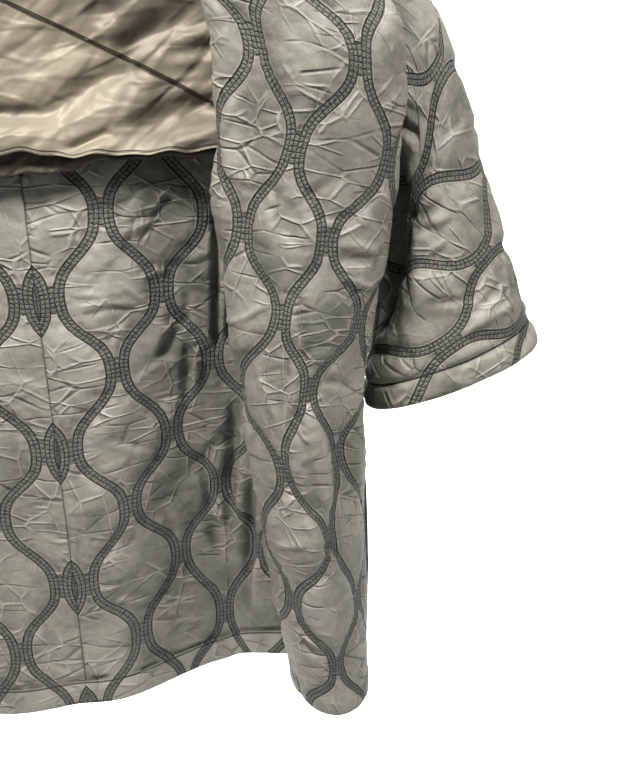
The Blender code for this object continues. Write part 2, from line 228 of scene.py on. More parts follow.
def seen_cloth(points, cut, way):
    """A laid left panel as the camera sees it: way is 1 for its outside, -1 for its inside."""
    facing = (surface_normals(points, 1) * (CAMERA_PLACE - points)).sum(axis=-1) * way > 0
    return SeenCloth(photo_pixels(points), facing, *cut)


def marked_place(cloth, x, y):
    """Where a mark in the photo falls on the cut: at the nearest point that faces the camera."""
    miss = np.hypot(cloth.pixels[..., 0] - x, cloth.pixels[..., 1] - y)
    nearest = np.unravel_index(np.argmin(np.where(cloth.facing, miss, np.inf)), miss.shape)
    return cloth.across[nearest], cloth.down[nearest]


def marked_kisses(cloth, marks):
    """Kisses of the quilting, on the cut, from their marks in the photo."""
    return [Kiss(*marked_place(cloth, mark.x, mark.y), mark.column, mark.level) for mark in marks]


def marked_creases(cloth, marks):
    """Creases, on the cut, from the marks of their two ends in the photo."""
    return [Crease(*marked_place(cloth, mark.x, mark.y), *marked_place(cloth, mark.x_end, mark.y_end),
                   mark.height, mark.width) for mark in marks.values()]


def laid_pattern(across, down, kisses):
    """Place in the flat pattern, bent so that its bands kiss where they do on the worn cloth."""
    def bend(x, y):
        square = ((x[:, None] - knots[:, 0])**2 + (y[:, None] - knots[:, 1])**2) / BEND_UNIT**2
        return square * np.log(square + ALMOST_NONE)

    knots = np.array([(kiss.across, kiss.down) for kiss in kisses])
    level = np.column_stack([np.ones(len(knots)), knots])
    system = np.zeros((len(knots) + 3,) * 2)
    system[:-3, :-3] = bend(*knots.T) + BEND_EASE * np.eye(len(knots))
    system[:-3, -3:], system[-3:, :-3] = level, level.T
    wanted = np.zeros((len(knots) + 3, 2))
    wanted[:-3, 0] = [BAND_START + (kiss.column + 0.5) * BAND_PITCH for kiss in kisses]
    wanted[:-3, 1] = [kiss.level * WAVE_LENGTH for kiss in kisses]
    weights = np.linalg.solve(system, wanted)
    x, y = across.ravel(), down.ravel()
    places = bend(x, y) @ weights[:-3] + np.column_stack([np.ones_like(x), x, y]) @ weights[-3:]
    return places[:, 0].reshape(across.shape), places[:, 1].reshape(across.shape)


CREASE_SPAN = 5
CREASE_OVERRUN = 0.2
CREASE_TAPER = 4
LEE_DEPTH = 0.55
LEE_OFF = 1.7
LEE_WIDTH = 1.3


def crease_heights(across, down, creases):
    """Soft ridges, or troughs where the height is negative, each with a shallow lee on one side."""
    total = np.zeros_like(across)
    for crease in creases:
        run = np.array((crease.across_end - crease.across, crease.down_end - crease.down))
        length = np.hypot(*run)
        run = run / length
        x, y = across - crease.across, down - crease.down
        along = (x * run[0] + y * run[1]) / length
        off = (x * run[1] - y * run[0]) / crease.width
        near = (np.abs(off) < CREASE_SPAN) & (along > -CREASE_OVERRUN) & (along < 1 + CREASE_OVERRUN)
        taper = np.clip(1 - (2 * along[near] - 1)**CREASE_TAPER, 0, None)
        off = off[near]
        ridge = np.exp(-off**2) - LEE_DEPTH * np.exp(-((off - LEE_OFF) / LEE_WIDTH)**2)
        total[near] += crease.height * taper * ridge
    return total


CreaseKind = namedtuple("CreaseKind", "per_cell tilt half_length height width")
CREASE = CreaseKind(4, 0.50, (0.008, 0.024), (0.0003, 0.0011), (0.0022, 0.0034))
FOLD = CreaseKind(3, 0.75, (0.014, 0.038), (0.0003, 0.0011), (0.0034, 0.0060))
CREASED_HALF_WIDTH = 0.028
CREASED_HALF_LENGTH = 0.055


def washed_creases(s, t, kind, draw):
    """Creases that washing leaves in each cell of the quilting, mostly across it."""
    creases = []
    columns = range(int(s.min() / BAND_PITCH) - 1, int(s.max() / BAND_PITCH) + 2)
    levels = range(int(t.min() / WAVE_LENGTH) - 2, int(t.max() / WAVE_LENGTH) + 2)
    for column in columns:
        for level in levels:
            middle_s = BAND_START + (column + 0.5) * BAND_PITCH
            middle_t = (level + 0.5 * (column % 2 == 0)) * WAVE_LENGTH
            for _ in range(kind.per_cell):
                tilt = draw.normal(0, kind.tilt)
                half = draw.uniform(*kind.half_length)
                at_s = middle_s + draw.uniform(-CREASED_HALF_WIDTH, CREASED_HALF_WIDTH)
                at_t = middle_t + draw.uniform(-CREASED_HALF_LENGTH, CREASED_HALF_LENGTH)
                height = draw.choice((-1, 1)) * draw.uniform(*kind.height)
                creases.append(Crease(
                    at_s - half * np.cos(tilt), at_t - half * np.sin(tilt),
                    at_s + half * np.cos(tilt), at_t + half * np.sin(tilt),
                    height, draw.uniform(*kind.width)))
    return crease_heights(s, t, creases)


def rumple(s, t, draw):
    """Broad unevenness of cloth that has been washed and hung."""
    total = np.zeros_like(s)
    for _ in range(RUMPLE_WAVES):
        way = draw.uniform(0, np.pi)
        length = draw.uniform(*RUMPLE_LENGTHS)
        phase = draw.uniform(0, 2 * np.pi)
        total += np.cos(2 * np.pi / length * (s * np.cos(way) + t * np.sin(way)) + phase)
    return RUMPLE * total / np.sqrt(RUMPLE_WAVES)


def edge_shape(points, edges):
    """How much puff, depth and roundness a panel keeps near each of its edges."""
    across, down = cut_lengths(points, 0)
    puff = np.ones_like(across)
    depth = np.ones_like(across)
    roll = np.ones_like(across)
    gaps = {"first": across, "last": across[:, -1:] - across, "top": down - down[:1],
            "bottom": down[-1:] - down}
    for edge, kind in edges.items():
        if kind == "free":
            roll *= np.sqrt(1 - (1 - np.clip(gaps[edge] / EDGE_ROLL, 0, 1))**2)
        else:
            puff *= 1 - np.exp(-gaps[edge] / SEAM_PULL)
            if kind == "turned":
                depth *= 1 - np.exp(-gaps[edge] / SEAM_DEPTH)
    return puff, depth, roll


def quilted_faces(points, side, cut, pattern, edges, seed, outside=(), inside=(), kept=(1.0, 1.0)):
    """Outer and inner face of a quilted panel, and the tone along their creases: lighter on worn ridges,
    painted shade in troughs.
    """
    s, t = pattern
    draw = np.random.default_rng(seed)
    gap, along = onion_bands(s, t)
    puff, depth, roll = edge_shape(points, edges)
    pucker = sum(share * np.sin(2 * np.pi * along / length + PUCKER_SKEW * s)
                 for length, share in PUCKER_WAVES)
    pucker *= PUCKER * np.exp(-gap / PUCKER_RUN) * np.clip(gap / PUCKER_START, 0, 1)
    in_cell = 1 - np.exp(-gap / PUFF_RUN)
    folds = washed_creases(s, t, FOLD, draw)
    middle = rumple(s, t, draw) + folds + crease_heights(*cut, outside) - crease_heights(*cut, inside)
    normals = surface_normals(points, side)
    faces = []
    wear_and_shade = []
    for way, placed, share in zip((1, -1), (outside, inside), kept):
        creases = washed_creases(s, t, CREASE, draw) * in_cell
        lift = STITCHED + (PUFF * in_cell + pucker + creases) * puff * share
        lift = np.maximum(lift, STITCHED / 2) * roll
        height = middle * puff - WALL / 2 * depth + way * lift
        faces.append(points + normals * height[..., None])
        creases += way * folds + crease_heights(*cut, placed)
        # raised creases are toned lighter as worn ridges, sunken ones darker as painted shade
        wear_and_shade.append(np.clip(creases / WORN_AND_SHADED_HEIGHT, -1, 1) * puff)
    return faces, wear_and_shade


def lay_cloth(name, faces, side, uv_maps, wear_and_shade=None):
    """A flat grid, doubled into a wall and laid in its place. The flat cut goes into its UV maps."""
    rows, columns = faces[0].shape[:2]
    cloth = bmesh.new()
    bmesh.ops.create_grid(cloth, x_segments=columns - 1, y_segments=rows - 1, size=0.5)
    wall = bmesh.ops.extrude_face_region(cloth, geom=cloth.faces[:], use_keep_orig=True)
    behind = [corner for corner in wall["geom"] if isinstance(corner, bmesh.types.BMVert)]
    bmesh.ops.translate(cloth, verts=behind, vec=(0, 0, -1))
    bmesh.ops.recalc_face_normals(cloth, faces=cloth.faces[:])
    mesh = bpy.data.meshes.new(name)
    cloth.to_mesh(mesh)
    cloth.free()
    flat = np.empty(len(mesh.vertices) * 3)
    mesh.vertices.foreach_get("co", flat)
    flat = flat.reshape(-1, 3)
    i = np.rint((flat[:, 1] + 0.5) * (rows - 1)).astype(int)
    j = np.rint((flat[:, 0] + 0.5) * (columns - 1)).astype(int)
    face = (flat[:, 2] < -0.5).astype(int)
    mesh.vertices.foreach_set("co", np.stack(faces)[face, i, j].ravel())
    corners = np.empty(len(mesh.loops), int)
    mesh.loops.foreach_get("vertex_index", corners)
    for title, (first, second) in uv_maps.items():
        layer = mesh.uv_layers.new(name=title)
        places = np.stack([first[i, j], second[i, j]], axis=-1)[corners]
        layer.uv.foreach_set("vector", places.astype(np.float32).ravel())
    if wear_and_shade is not None:
        attribute = mesh.attributes.new("wear_and_shade", "FLOAT", "POINT")
        attribute.data.foreach_set("value", np.stack(wear_and_shade)[face, i, j].astype(np.float32))
    if side < 0:
        mesh.flip_normals()
    mesh.shade_smooth()
    mesh.update()
    piece = bpy.data.objects.new(name, mesh)
    bpy.context.scene.collection.objects.link(piece)
    return piece


def sewn_in(piece, node, material):
    """The piece takes its material, rides on the garment, and stands for its solid."""
    piece.data.materials.append(material)
    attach(piece, "root")
    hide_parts(node)


def feed(socket, value):
    """Links a socket to another one, or sets it to a plain value."""
    if isinstance(value, bpy.types.NodeSocket):
        socket.id_data.links.new(value, socket)
    else:
        socket.default_value = value


def outputs_of(tree, kind, inputs, **settings):
    """Outputs of a new node that has these settings and is fed these inputs."""
    node = tree.nodes.new(kind)
    for name, setting in settings.items():
        setattr(node, name, setting)
    for socket, value in inputs.items():
        feed(node.inputs[socket], value)
    return node.outputs


def maths(operation, *values):
    """A math node on sockets and plain numbers."""
    tree = next(value.id_data for value in values if isinstance(value, bpy.types.NodeSocket))
    return outputs_of(tree, "ShaderNodeMath", dict(enumerate(values)), operation=operation)[0]


def plus(first, second):
    return maths("ADD", first, second)


def minus(first, second):
    return maths("SUBTRACT", first, second)


def times(first, second):
    return maths("MULTIPLY", first, second)


def times_plus(first, second, third):
    return maths("MULTIPLY_ADD", first, second, third)


def larger(first, second):
    return maths("MAXIMUM", first, second)


def size_of(value):
    return maths("ABSOLUTE", value)


def step_node(value, low, high):
    """0 below low and 1 above high, smoothly between. It falls where low is above high."""
    ends = (0.0, 1.0) if low < high else (1.0, 0.0)
    return outputs_of(value.id_data, "ShaderNodeMapRange", {
        "Value": value, "From Min": min(low, high), "From Max": max(low, high),
        "To Min": ends[0], "To Max": ends[1],
    }, interpolation_type="SMOOTHSTEP")["Result"]


Noise = namedtuple("Noise", "scale detail roughness distortion")


def noise_node(vector, noise):
    return outputs_of(vector.id_data, "ShaderNodeTexNoise", {
        "Vector": vector, "Scale": noise.scale, "Detail": noise.detail, "Roughness": noise.roughness,
        "Distortion": noise.distortion,
    })["Fac"]


def mix_node(share, first, second):
    """The first colour at share 0 and the second at 1. A colour mix takes them at sockets 0, 6 and 7."""
    inputs = {0: share, 6: first, 7: second}
    return outputs_of(share.id_data, "ShaderNodeMix", inputs, data_type="RGBA")[2]


def uv_socket(tree, title):
    """One of the cloth's UV maps, which hold lengths in metres."""
    return outputs_of(tree, "ShaderNodeUVMap", {}, uv_map=title)["UV"]


def parts(vector):
    """The first two lengths of a place."""
    outputs = outputs_of(vector.id_data, "ShaderNodeSeparateXYZ", {"Vector": vector})
    return outputs["X"], outputs["Y"]


def spread(place, scale, shift):
    """A place or value scaled along each axis, and shifted."""
    inputs = {0: place, 1: scale, 2: shift}
    return outputs_of(place.id_data, "ShaderNodeVectorMath", inputs, operation="MULTIPLY_ADD")["Vector"]


def give_out(group, values):
    """Makes these values the outputs of a node group."""
    for title in values:
        group.interface.new_socket(title, in_out="OUTPUT", socket_type="NodeSocketFloat")
    out = group.nodes.new("NodeGroupOutput")
    for title, value in values.items():
        feed(out.inputs[title], value)


def group_outputs(tree, group):
    """Outputs of a node group, put to use in a material."""
    return outputs_of(tree, "ShaderNodeGroup", {}, node_tree=group)


def plain_material(name):
    """A new material, with its node tree and its shader."""
    material = bpy.data.materials.new(name)
    material.use_nodes = True
    return material, material.node_tree, material.node_tree.nodes["Principled BSDF"]


def finish_cloth(shader, colour, roughness, sheen, height):
    """Colour, roughness, sheen and relief of a cloth, given to its shader."""
    feed(shader.inputs["Base Color"], colour)
    feed(shader.inputs["Roughness"], roughness)
    shader.inputs["Specular IOR Level"].default_value = sheen
    bump = {"Strength": 1.0, "Distance": 1.0, "Height": height}
    feed(shader.inputs["Normal"], outputs_of(shader.id_data, "ShaderNodeBump", bump)["Normal"])


LADDER = 0.0047
BAND_SLACK = 1.19
BAND_SLACK_WAVE = 0.0025
BAND_BLUR = 0.0003
BAND_SINK = 0.0005
BAND_PILLOW = 0.0006
PILLOW_ACROSS = (0.0, 0.0014)
PILLOW_ALONG = (0.04, 0.30)
KISS_BLUR = 0.0005
KISS_STEP = (WAVE_SWING * 0.86, WAVE_SWING * 0.92)
STITCH_LINE = 0.00042
STITCH_SINK = 0.00055
EDGE_LINE_IN = 0.0008
EDGE_LINE_STEP = (STITCH_LINE * 1.5, STITCH_LINE * 0.5)
MIDDLE_LINE_STEP = (STITCH_LINE * 1.4, STITCH_LINE * 0.4)
RUNG_STEP = (0.135, 0.045)
RUNG_SHARE = 0.9
RUNG_PATCHES = Noise(210.0, 1.0, 0.5, 0.0)
RUNG_PATCH_STEP = (0.26, 0.54)
UNSTEADY = 0.0010
UNSTEADY_NOISE = Noise(320.0, 1.0, 0.5, 0.0)
UNSTEADY_ACROSS = 0.5
UNSTEADY_ALONG = 2.6
RIM_STARTS = (0.0001, 0.0007)
RIM_ENDS = (0.0022, 0.0009)
RIM_LIFT = 0.0003


def quilting_group():
    """Bands, stitches and the faded rim of each cell, which carries a painted highlight, drawn on the
    flat cut.
    """
    group = bpy.data.node_groups.new("onion_quilting", "ShaderNodeTree")
    cut = uv_socket(group, "pattern")
    s, t = parts(cut)
    s = minus(s, BAND_START)
    turn = times(t, 2 * np.pi / WAVE_LENGTH)
    triple = times(turn, 3.0)
    swing = plus(times(maths("COSINE", triple), -WAVE_SQUARE), maths("COSINE", turn))
    swing = times(swing, WAVE_SWING / (1 - WAVE_SQUARE))
    lean = minus(times(maths("SINE", triple), 3 * WAVE_SQUARE), maths("SINE", turn))
    lean = times(lean, 2 * np.pi / WAVE_LENGTH * WAVE_SWING / (1 - WAVE_SQUARE))
    even = maths("WRAP", minus(s, swing), BAND_PITCH, -BAND_PITCH)
    odd = maths("WRAP", minus(plus(s, swing), BAND_PITCH), BAND_PITCH, -BAND_PITCH)
    on_even = maths("LESS_THAN", size_of(even), size_of(odd))
    on_odd = minus(1.0, on_even)
    offset = plus(times(even, on_even), times(odd, on_odd))
    lean = times(lean, minus(on_even, on_odd))
    stretch = times_plus(lean, lean, 1.0)
    distance = maths("DIVIDE", size_of(offset), maths("SQRT", stretch))
    along = plus(t, maths("DIVIDE", times(offset, lean), stretch))
    jitter = times_plus(noise_node(cut, UNSTEADY_NOISE), UNSTEADY, -UNSTEADY / 2)
    drawn = plus(distance, times(jitter, UNSTEADY_ACROSS))
    half = BAND_WIDTH / 2
    apart = plus(size_of(even), size_of(odd))
    band = larger(step_node(drawn, half + BAND_BLUR, half - BAND_BLUR),
                  step_node(apart, KISS_REACH + KISS_BLUR, KISS_REACH - KISS_BLUR))
    edge_line = size_of(minus(drawn, half - EDGE_LINE_IN))
    middle_line = size_of(drawn)
    lines = larger(step_node(edge_line, *EDGE_LINE_STEP), step_node(middle_line, *MIDDLE_LINE_STEP))
    rungs = plus(along, times(jitter, UNSTEADY_ALONG))
    waver = maths("SINE", times(rungs, 4 * np.pi / WAVE_LENGTH))
    rungs = times_plus(waver, -BAND_SLACK_WAVE, times(rungs, BAND_SLACK))
    rungs = size_of(minus(maths("FRACT", times(rungs, 1 / LADDER)), 0.5))
    to_line = maths("MINIMUM", edge_line, middle_line)
    pillow = maths("MINIMUM", step_node(to_line, *PILLOW_ACROSS), step_node(rungs, *PILLOW_ALONG))
    strength = step_node(noise_node(cut, RUNG_PATCHES), *RUNG_PATCH_STEP)
    rungs = times(step_node(rungs, *RUNG_STEP), strength)
    stitch = times(larger(lines, times(rungs, RUNG_SHARE)), band)
    beyond = minus(drawn, half)
    rim = times(step_node(beyond, *RIM_STARTS), step_node(beyond, *RIM_ENDS))
    relief = times_plus(band, -BAND_SINK, times(stitch, -STITCH_SINK))
    relief = times_plus(rim, RIM_LIFT, relief)
    relief = times_plus(times(times(pillow, strength), band), BAND_PILLOW, relief)
    kiss = step_node(swing, *KISS_STEP)
    give_out(group, {"Band": band, "Stitch": stitch, "Rim": rim, "Relief": relief, "Rung": rungs,
                     "Kiss": kiss})
    return group


SHIFT_DOWN = 2.7
DENTS = Noise(1.0, 2.0, 0.45, 0.35)
CREASED_PATCHES = Noise(1.0, 1.0, 0.45, 0.35)


def stretched(cut, scale, shift):
    """The cut drawn out by a scale each way, and shifted so that two textures on it differ."""
    return spread(cut, (*scale, 1.0), (shift, SHIFT_DOWN * shift, shift))


def facet_edges(cut, scale, shift):
    """Distance to the straight edges of crumpled facets, in the stretched cut."""
    inputs = {"Vector": stretched(cut, scale, shift), "Scale": 1.0}
    return outputs_of(cut.id_data, "ShaderNodeTexVoronoi", inputs, feature="DISTANCE_TO_EDGE")["Distance"]


HALVES_APART = 7.0
GRAIN = Noise(190.0, 3.0, 0.6, 0.0)
GRAIN_DEPTH = 0.0006
GRAIN_TONE = 0.24
PATCH = Noise(14.0, 4.0, 0.62, 0.3)
PATCH_TONE = 0.80
DENT_SCALE = (22.0, 34.0)
DENT_SHIFT = 3.1
DENT_DEPTH = 0.0024
DrawnCreases = namedtuple("DrawnCreases", "scale shift depth")
DRAWN_CREASES = (
    DrawnCreases((13.0, 42.0), 0.7, -0.0014),
    DrawnCreases((18.0, 46.0), 5.3, 0.0014),
    DrawnCreases((34.0, 24.0), 7.7, 0.0011),
)
CREASE_REACH = 0.060
CREASED_PATCH_SCALE = (18.0, 18.0)
CREASED_PATCH_SHIFT = 20
CREASED_PATCH_STEP = (0.44, 0.62)
CREASE_LIGHT_AND_SHADE = 60
HAIRLINE = 5.0
RIDGE_WEAR_AND_HIGHLIGHT = 0.46
CREASE_PAINTED_SHADE = -0.22


def crumple_group():
    """Papery crumple of washed nylon: soft dents, thin creases mostly across, and mottled fading, with
    painted shade in the creases and a painted highlight on their ridges.
    """
    group = bpy.data.node_groups.new("washed_crumple", "ShaderNodeTree")
    place = group.nodes.new("ShaderNodeTexCoord").outputs["Object"]
    on_left = maths("GREATER_THAN", parts(place)[0], 0.0)
    cut = spread(on_left, (0, 0, HALVES_APART), uv_socket(group, "pattern"))
    grain = noise_node(place, GRAIN)
    patch = noise_node(place, PATCH)
    height = times(noise_node(stretched(cut, DENT_SCALE, DENT_SHIFT), DENTS), DENT_DEPTH)
    height = times_plus(grain, GRAIN_DEPTH, height)
    mottle_and_shade = times_plus(grain, GRAIN_TONE, times(patch, PATCH_TONE))
    for scale, shift, depth in DRAWN_CREASES:
        line = times_plus(facet_edges(cut, scale, shift), -1 / CREASE_REACH, 1.0)
        here = stretched(cut, CREASED_PATCH_SCALE, shift + CREASED_PATCH_SHIFT)
        here = noise_node(here, CREASED_PATCHES)
        line = times(larger(line, 0.0), step_node(here, *CREASED_PATCH_STEP))
        height = times_plus(line, depth, height)
        # Sunken creases get painted shade, raised ones a painted highlight, and the thin crest of each
        # ridge is lighter from fading as well.
        mottle_and_shade = times_plus(line, depth * CREASE_LIGHT_AND_SHADE, mottle_and_shade)
        hairline = maths("POWER", line, HAIRLINE)
        mottle_and_shade = times_plus(hairline, RIDGE_WEAR_AND_HIGHLIGHT if depth > 0 else CREASE_PAINTED_SHADE, mottle_and_shade)
    give_out(group, {"Height": height, "Mottle_and_shade": mottle_and_shade})
    return group


ONION_QUILTING = quilting_group()
WASHED_CRUMPLE = crumple_group()
CELL_DARK = (0.066, 0.065, 0.051, 1)
CELL_LIGHT = (0.205, 0.199, 0.162, 1)
CELL_STEP = (0.20, 0.82)
WEAR_AND_SHADE_TONE = 0.10
BAND_CLOTH = (0.088, 0.086, 0.071, 1)
BAND_CREASED = 0.25
THREAD = (0.009, 0.009, 0.008, 1)
THREAD_SHARE = 0.95
FADED_AND_HIGHLIT_RIM = (0.27, 0.26, 0.22, 1)
RIM_SHARE = 0.26
NYLON_ROUGHNESS = 0.60
BAND_ROUGHER = 0.14
NYLON_SHEEN = 0.22
SEAM_KISS = 0.0110
SEAM_KISS_BLUR = 0.0008
LineOfThread = namedtuple("LineOfThread", "half_width share")
SEAM_THREAD = LineOfThread(0.0006, 0.5)
HEM_THREAD = LineOfThread(0.0014, 0.95)
LINE_BLUR = 0.3
LINE_SINK = 0.0009


def quilted_nylon(name, seam_line=None, hem_line=None):
    """Washed nylon quilting. The two lines are a seam at the first column and a stitched hem."""
    material, tree, shader = plain_material(name)
    quilting = group_outputs(tree, ONION_QUILTING)
    crumple = group_outputs(tree, WASHED_CRUMPLE)
    wear_and_shade = outputs_of(tree, "ShaderNodeAttribute", {}, attribute_name="wear_and_shade")["Fac"]
    # lighter worn ridges and painted shade in creases, and the painted light and shade given to the
    # back's inside, are added to the cell's tone
    worn = times_plus(wear_and_shade, WEAR_AND_SHADE_TONE, crumple["Mottle_and_shade"])
    cell = mix_node(step_node(worn, *CELL_STEP), CELL_DARK, CELL_LIGHT)
    # a painted highlight, with some fading, along the rim of each cell
    cell = mix_node(times(quilting["Rim"], RIM_SHARE), cell, FADED_AND_HIGHLIT_RIM)
    band = quilting["Band"]
    stitches = quilting["Stitch"]
    relief = quilting["Relief"]
    from_seam, from_edge = parts(uv_socket(tree, "edge"))
    if seam_line is not None:
        at_seam = times(step_node(from_seam, SEAM_KISS, SEAM_KISS - SEAM_KISS_BLUR), quilting["Kiss"])
        band = larger(band, at_seam)
        stitches = larger(stitches, times(quilting["Rung"], at_seam))
    lines = ((seam_line, from_seam, SEAM_THREAD), (hem_line, from_edge, HEM_THREAD))
    for line, gap, thread in lines:
        if line is not None:
            off = size_of(minus(gap, line))
            drawn = step_node(off, thread.half_width, thread.half_width * LINE_BLUR)
            drawn = times(drawn, thread.share)
            stitches = larger(stitches, drawn)
            relief = times_plus(drawn, -LINE_SINK, relief)
    colour = mix_node(band, cell, BAND_CLOTH)
    colour = mix_node(times(stitches, THREAD_SHARE), colour, THREAD)
    roughness = times_plus(quilting["Band"], BAND_ROUGHER, NYLON_ROUGHNESS)
    creased = times_plus(quilting["Band"], BAND_CREASED - 1, 1.0)
    height = times_plus(crumple["Height"], creased, relief)
    finish_cloth(shader, colour, roughness, NYLON_SHEEN, height)
    return material


def body_panel(surface, u, v, side):
    """A laid panel of the body, and its cut measured down from the underarm's level."""
    points = surface(u, v, side)
    return points, cut_lengths(points, np.argmin(np.abs(v - UNDERARM_SHARE)))


BACK_COLUMNS = 122
BACK_ROWS = 338
BACK_KISS_MARKS = (
    KissMark(53, 301, 0, 0.0), KissMark(72, 451, 0, 1.0), KissMark(88, 585, 0, 2.0),
    KissMark(102, 213, 1, -0.5), KissMark(118, 370, 1, 0.5), KissMark(130, 505, 1, 1.5),
    KissMark(142, 632, 1, 2.5), KissMark(163, 290, 2, 0.0), KissMark(173, 430, 2, 1.0),
    KissMark(181, 550, 2, 2.0), KissMark(210, 212, 3, -0.5), KissMark(213, 357, 3, 0.5),
    KissMark(221, 482, 3, 1.5), KissMark(226, 610, 3, 2.5), KissMark(259, 545, 4, 2.0),
)
BACK_SEED = 11
LINED_TO = -0.31
LINED_RUN = 0.03
LINED_PUFF = 0.25
INSIDE_FACING = 0.034
INSIDE_FACING_RUN = 0.004
# The inside has painted light by the seam at the top and painted shade to the side, a choice made to suit
# the photo
SIDE_PAINTED_SHADE = 0.9
SIDE_PAINTED_SHADE_FROM = 0.05
SIDE_PAINTED_SHADE_RUN = 0.10
INSIDE_PAINTED_LIGHT = 1.8
INSIDE_PAINTED_LIGHT_TO = 0.30
INSIDE_PAINTED_LIGHT_RUN = 0.16
BACK_CREASE_MARKS = {
    "upper_slant": CreaseMark(150, 221, 176, 189, -0.0026, 0.0034),
    "under_node": CreaseMark(118, 233, 158, 217, 0.0016, 0.0030),
    "beside_slant": CreaseMark(138, 240, 158, 217, -0.0018, 0.0030),
    "cell_fold": CreaseMark(84, 315, 108, 306, -0.0022, 0.0036),
    "cell_fold_end": CreaseMark(101, 306, 140, 308, -0.0020, 0.0034),
    "kiss_fold": CreaseMark(140, 279, 169, 267, 0.0018, 0.0030),
    "valley_side": CreaseMark(187, 287, 187, 327, -0.0022, 0.0040),
    "hollow": CreaseMark(159, 359, 179, 327, -0.0052, 0.0062),
    "hollow_lip": CreaseMark(133, 382, 166, 356, 0.0018, 0.0034),
    "short_fold": CreaseMark(69, 299, 95, 299, -0.0014, 0.0028),
    "rising_fold": CreaseMark(112, 346, 129, 315, 0.0016, 0.0032),
}
# Other creases, by lengths on the cut: across from the first column and down from the underarm
BACK_CREASES = {
    "valley": Crease(0.183, 0.030, 0.173, 0.180, -0.0110, 0.0040),
    "lower_valley": Crease(0.146, 0.165, 0.137, 0.236, -0.0056, 0.0056),
    "deep_wrinkle": Crease(0.190, 0.230, 0.176, 0.390, -0.0080, 0.0075),
    "hem_wrinkle": Crease(0.205, 0.320, 0.196, 0.490, -0.0070, 0.0070),
    "outer_wrinkle": Crease(0.150, 0.300, 0.160, 0.430, -0.0028, 0.0052),
}
quilting_back = quilted_nylon("quilting_back", seam_line=0.0)
seen_back = seen_cloth(*body_panel(back_surface, MARK_U, MARK_V, 1), way=-1)
back_kisses = marked_kisses(seen_back, BACK_KISS_MARKS)
back_creases = marked_creases(seen_back, BACK_CREASE_MARKS) + list(BACK_CREASES.values())
backs = {}
for hand, side in SIDES:
    u = np.linspace(0, 1, BACK_COLUMNS + 1)
    v = np.linspace(0, 1, BACK_ROWS + 1)
    points, (across, down) = body_panel(back_surface, u, v, side)
    pattern = laid_pattern(across, down, back_kisses)
    from_hem = down[-1:] - down
    lined = np.clip((LINED_TO - points[..., 2]) / LINED_RUN, LINED_PUFF, 1)
    at_hem = np.clip((from_hem - INSIDE_FACING) / INSIDE_FACING_RUN, 0, 1)
    faces, wear_and_shade = quilted_faces(
        points, side, (across, down), pattern,
        {"first": "flat", "last": "turned", "top": "turned", "bottom": "free"},
        seed=BACK_SEED + side, inside=back_creases, kept=(1.0, lined * at_hem))
    # painted light on the upper inside by the seam, painted shade towards the side
    painted_light = INSIDE_PAINTED_LIGHT * np.clip((INSIDE_PAINTED_LIGHT_TO - down) / INSIDE_PAINTED_LIGHT_RUN, 0, 1)
    wear_and_shade[1] += painted_light - (painted_light + SIDE_PAINTED_SHADE) * np.clip((across - SIDE_PAINTED_SHADE_FROM) / SIDE_PAINTED_SHADE_RUN, 0, 1)
    uv_maps = {"pattern": pattern, "edge": (across, from_hem)}
    piece = lay_cloth(f"quilted_back_{hand}", faces, side, uv_maps, wear_and_shade)
    sewn_in(piece, f"back_{hand}", quilting_back)
    backs[hand] = (points, across, down, pattern)

# Fronts, two. The same quilted cloth, cut to hang open: each rolls over at the chest, and its edge
# turns in behind it, with no closure. It is sewn to the back at the shoulder and to the side strip.
THROAT = np.array((0.125, -0.055, -0.055))
FRONT_SHARES = (0.0, 0.18, 0.42, 0.70, 0.84, 1.0)
ROLL_SHARE = FRONT_SHARES[3]
FrontSection = namedtuple("FrontSection", "side flank crest roll turn edge z_side z_edge")
FRONT_SECTIONS = {
    "chest": FrontSection(
        side=(0.330, -0.040), flank=(0.347, -0.070), crest=(0.275, -0.107), roll=(0.194, -0.062),
        turn=(0.198, -0.046), edge=(0.214, -0.038), z_side=-0.200, z_edge=-0.195),
    "underarm": FrontSection(
        side=(0.332, -0.012), flank=(0.345, -0.062), crest=(0.268, -0.104), roll=(0.190, -0.058),
        turn=(0.196, -0.034), edge=(0.220, -0.026), z_side=-0.340, z_edge=-0.340),
    "waist": FrontSection(
        side=(0.308, -0.012), flank=(0.316, -0.058), crest=(0.258, -0.098), roll=(0.200, -0.052),
        turn=(0.204, -0.020), edge=(0.232, -0.006), z_side=-0.500, z_edge=-0.500),
    "hip": FrontSection(
        side=(0.313, -0.008), flank=(0.301, -0.052), crest=(0.262, -0.092), roll=(0.214, -0.045),
        turn=(0.216, 0.000), edge=(0.242, 0.024), z_side=-0.660, z_edge=-0.655),
    "hem": FrontSection(
        side=(0.308, -0.002), flank=(0.309, -0.040), crest=(0.279, -0.076), roll=(0.240, -0.032),
        turn=(0.236, 0.022), edge=(0.256, 0.062), z_side=-0.857, z_edge=-0.843),
}
FrontFold = namedtuple("FrontFold", "share half_width depth z_middle half_height")
FRONT_FOLDS = {
    "trough": FrontFold(0.290, 0.160, 0.012, -0.605, 0.150),
    "upper_pleat": FrontFold(0.560, 0.095, 0.010, -0.330, 0.210),
}


def front_top(u):
    """Shoulder seam from its tip to the neck, then the front neckline to the throat."""
    shoulder = shoulder_line(1 - u / ROLL_SHARE)
    neck = NECK_SIDE + ((u - ROLL_SHARE) / (1 - ROLL_SHARE))[:, None] * (THROAT - NECK_SIDE)
    return np.where((u < ROLL_SHARE)[:, None], shoulder, neck)


def front_section(row, u):
    """One level of a front, through its stations."""
    plan = spline(FRONT_SHARES, [row.side, row.flank, row.crest, row.roll, row.turn, row.edge], u)
    return np.column_stack([plan, row.z_side + (row.z_edge - row.z_side) * u])


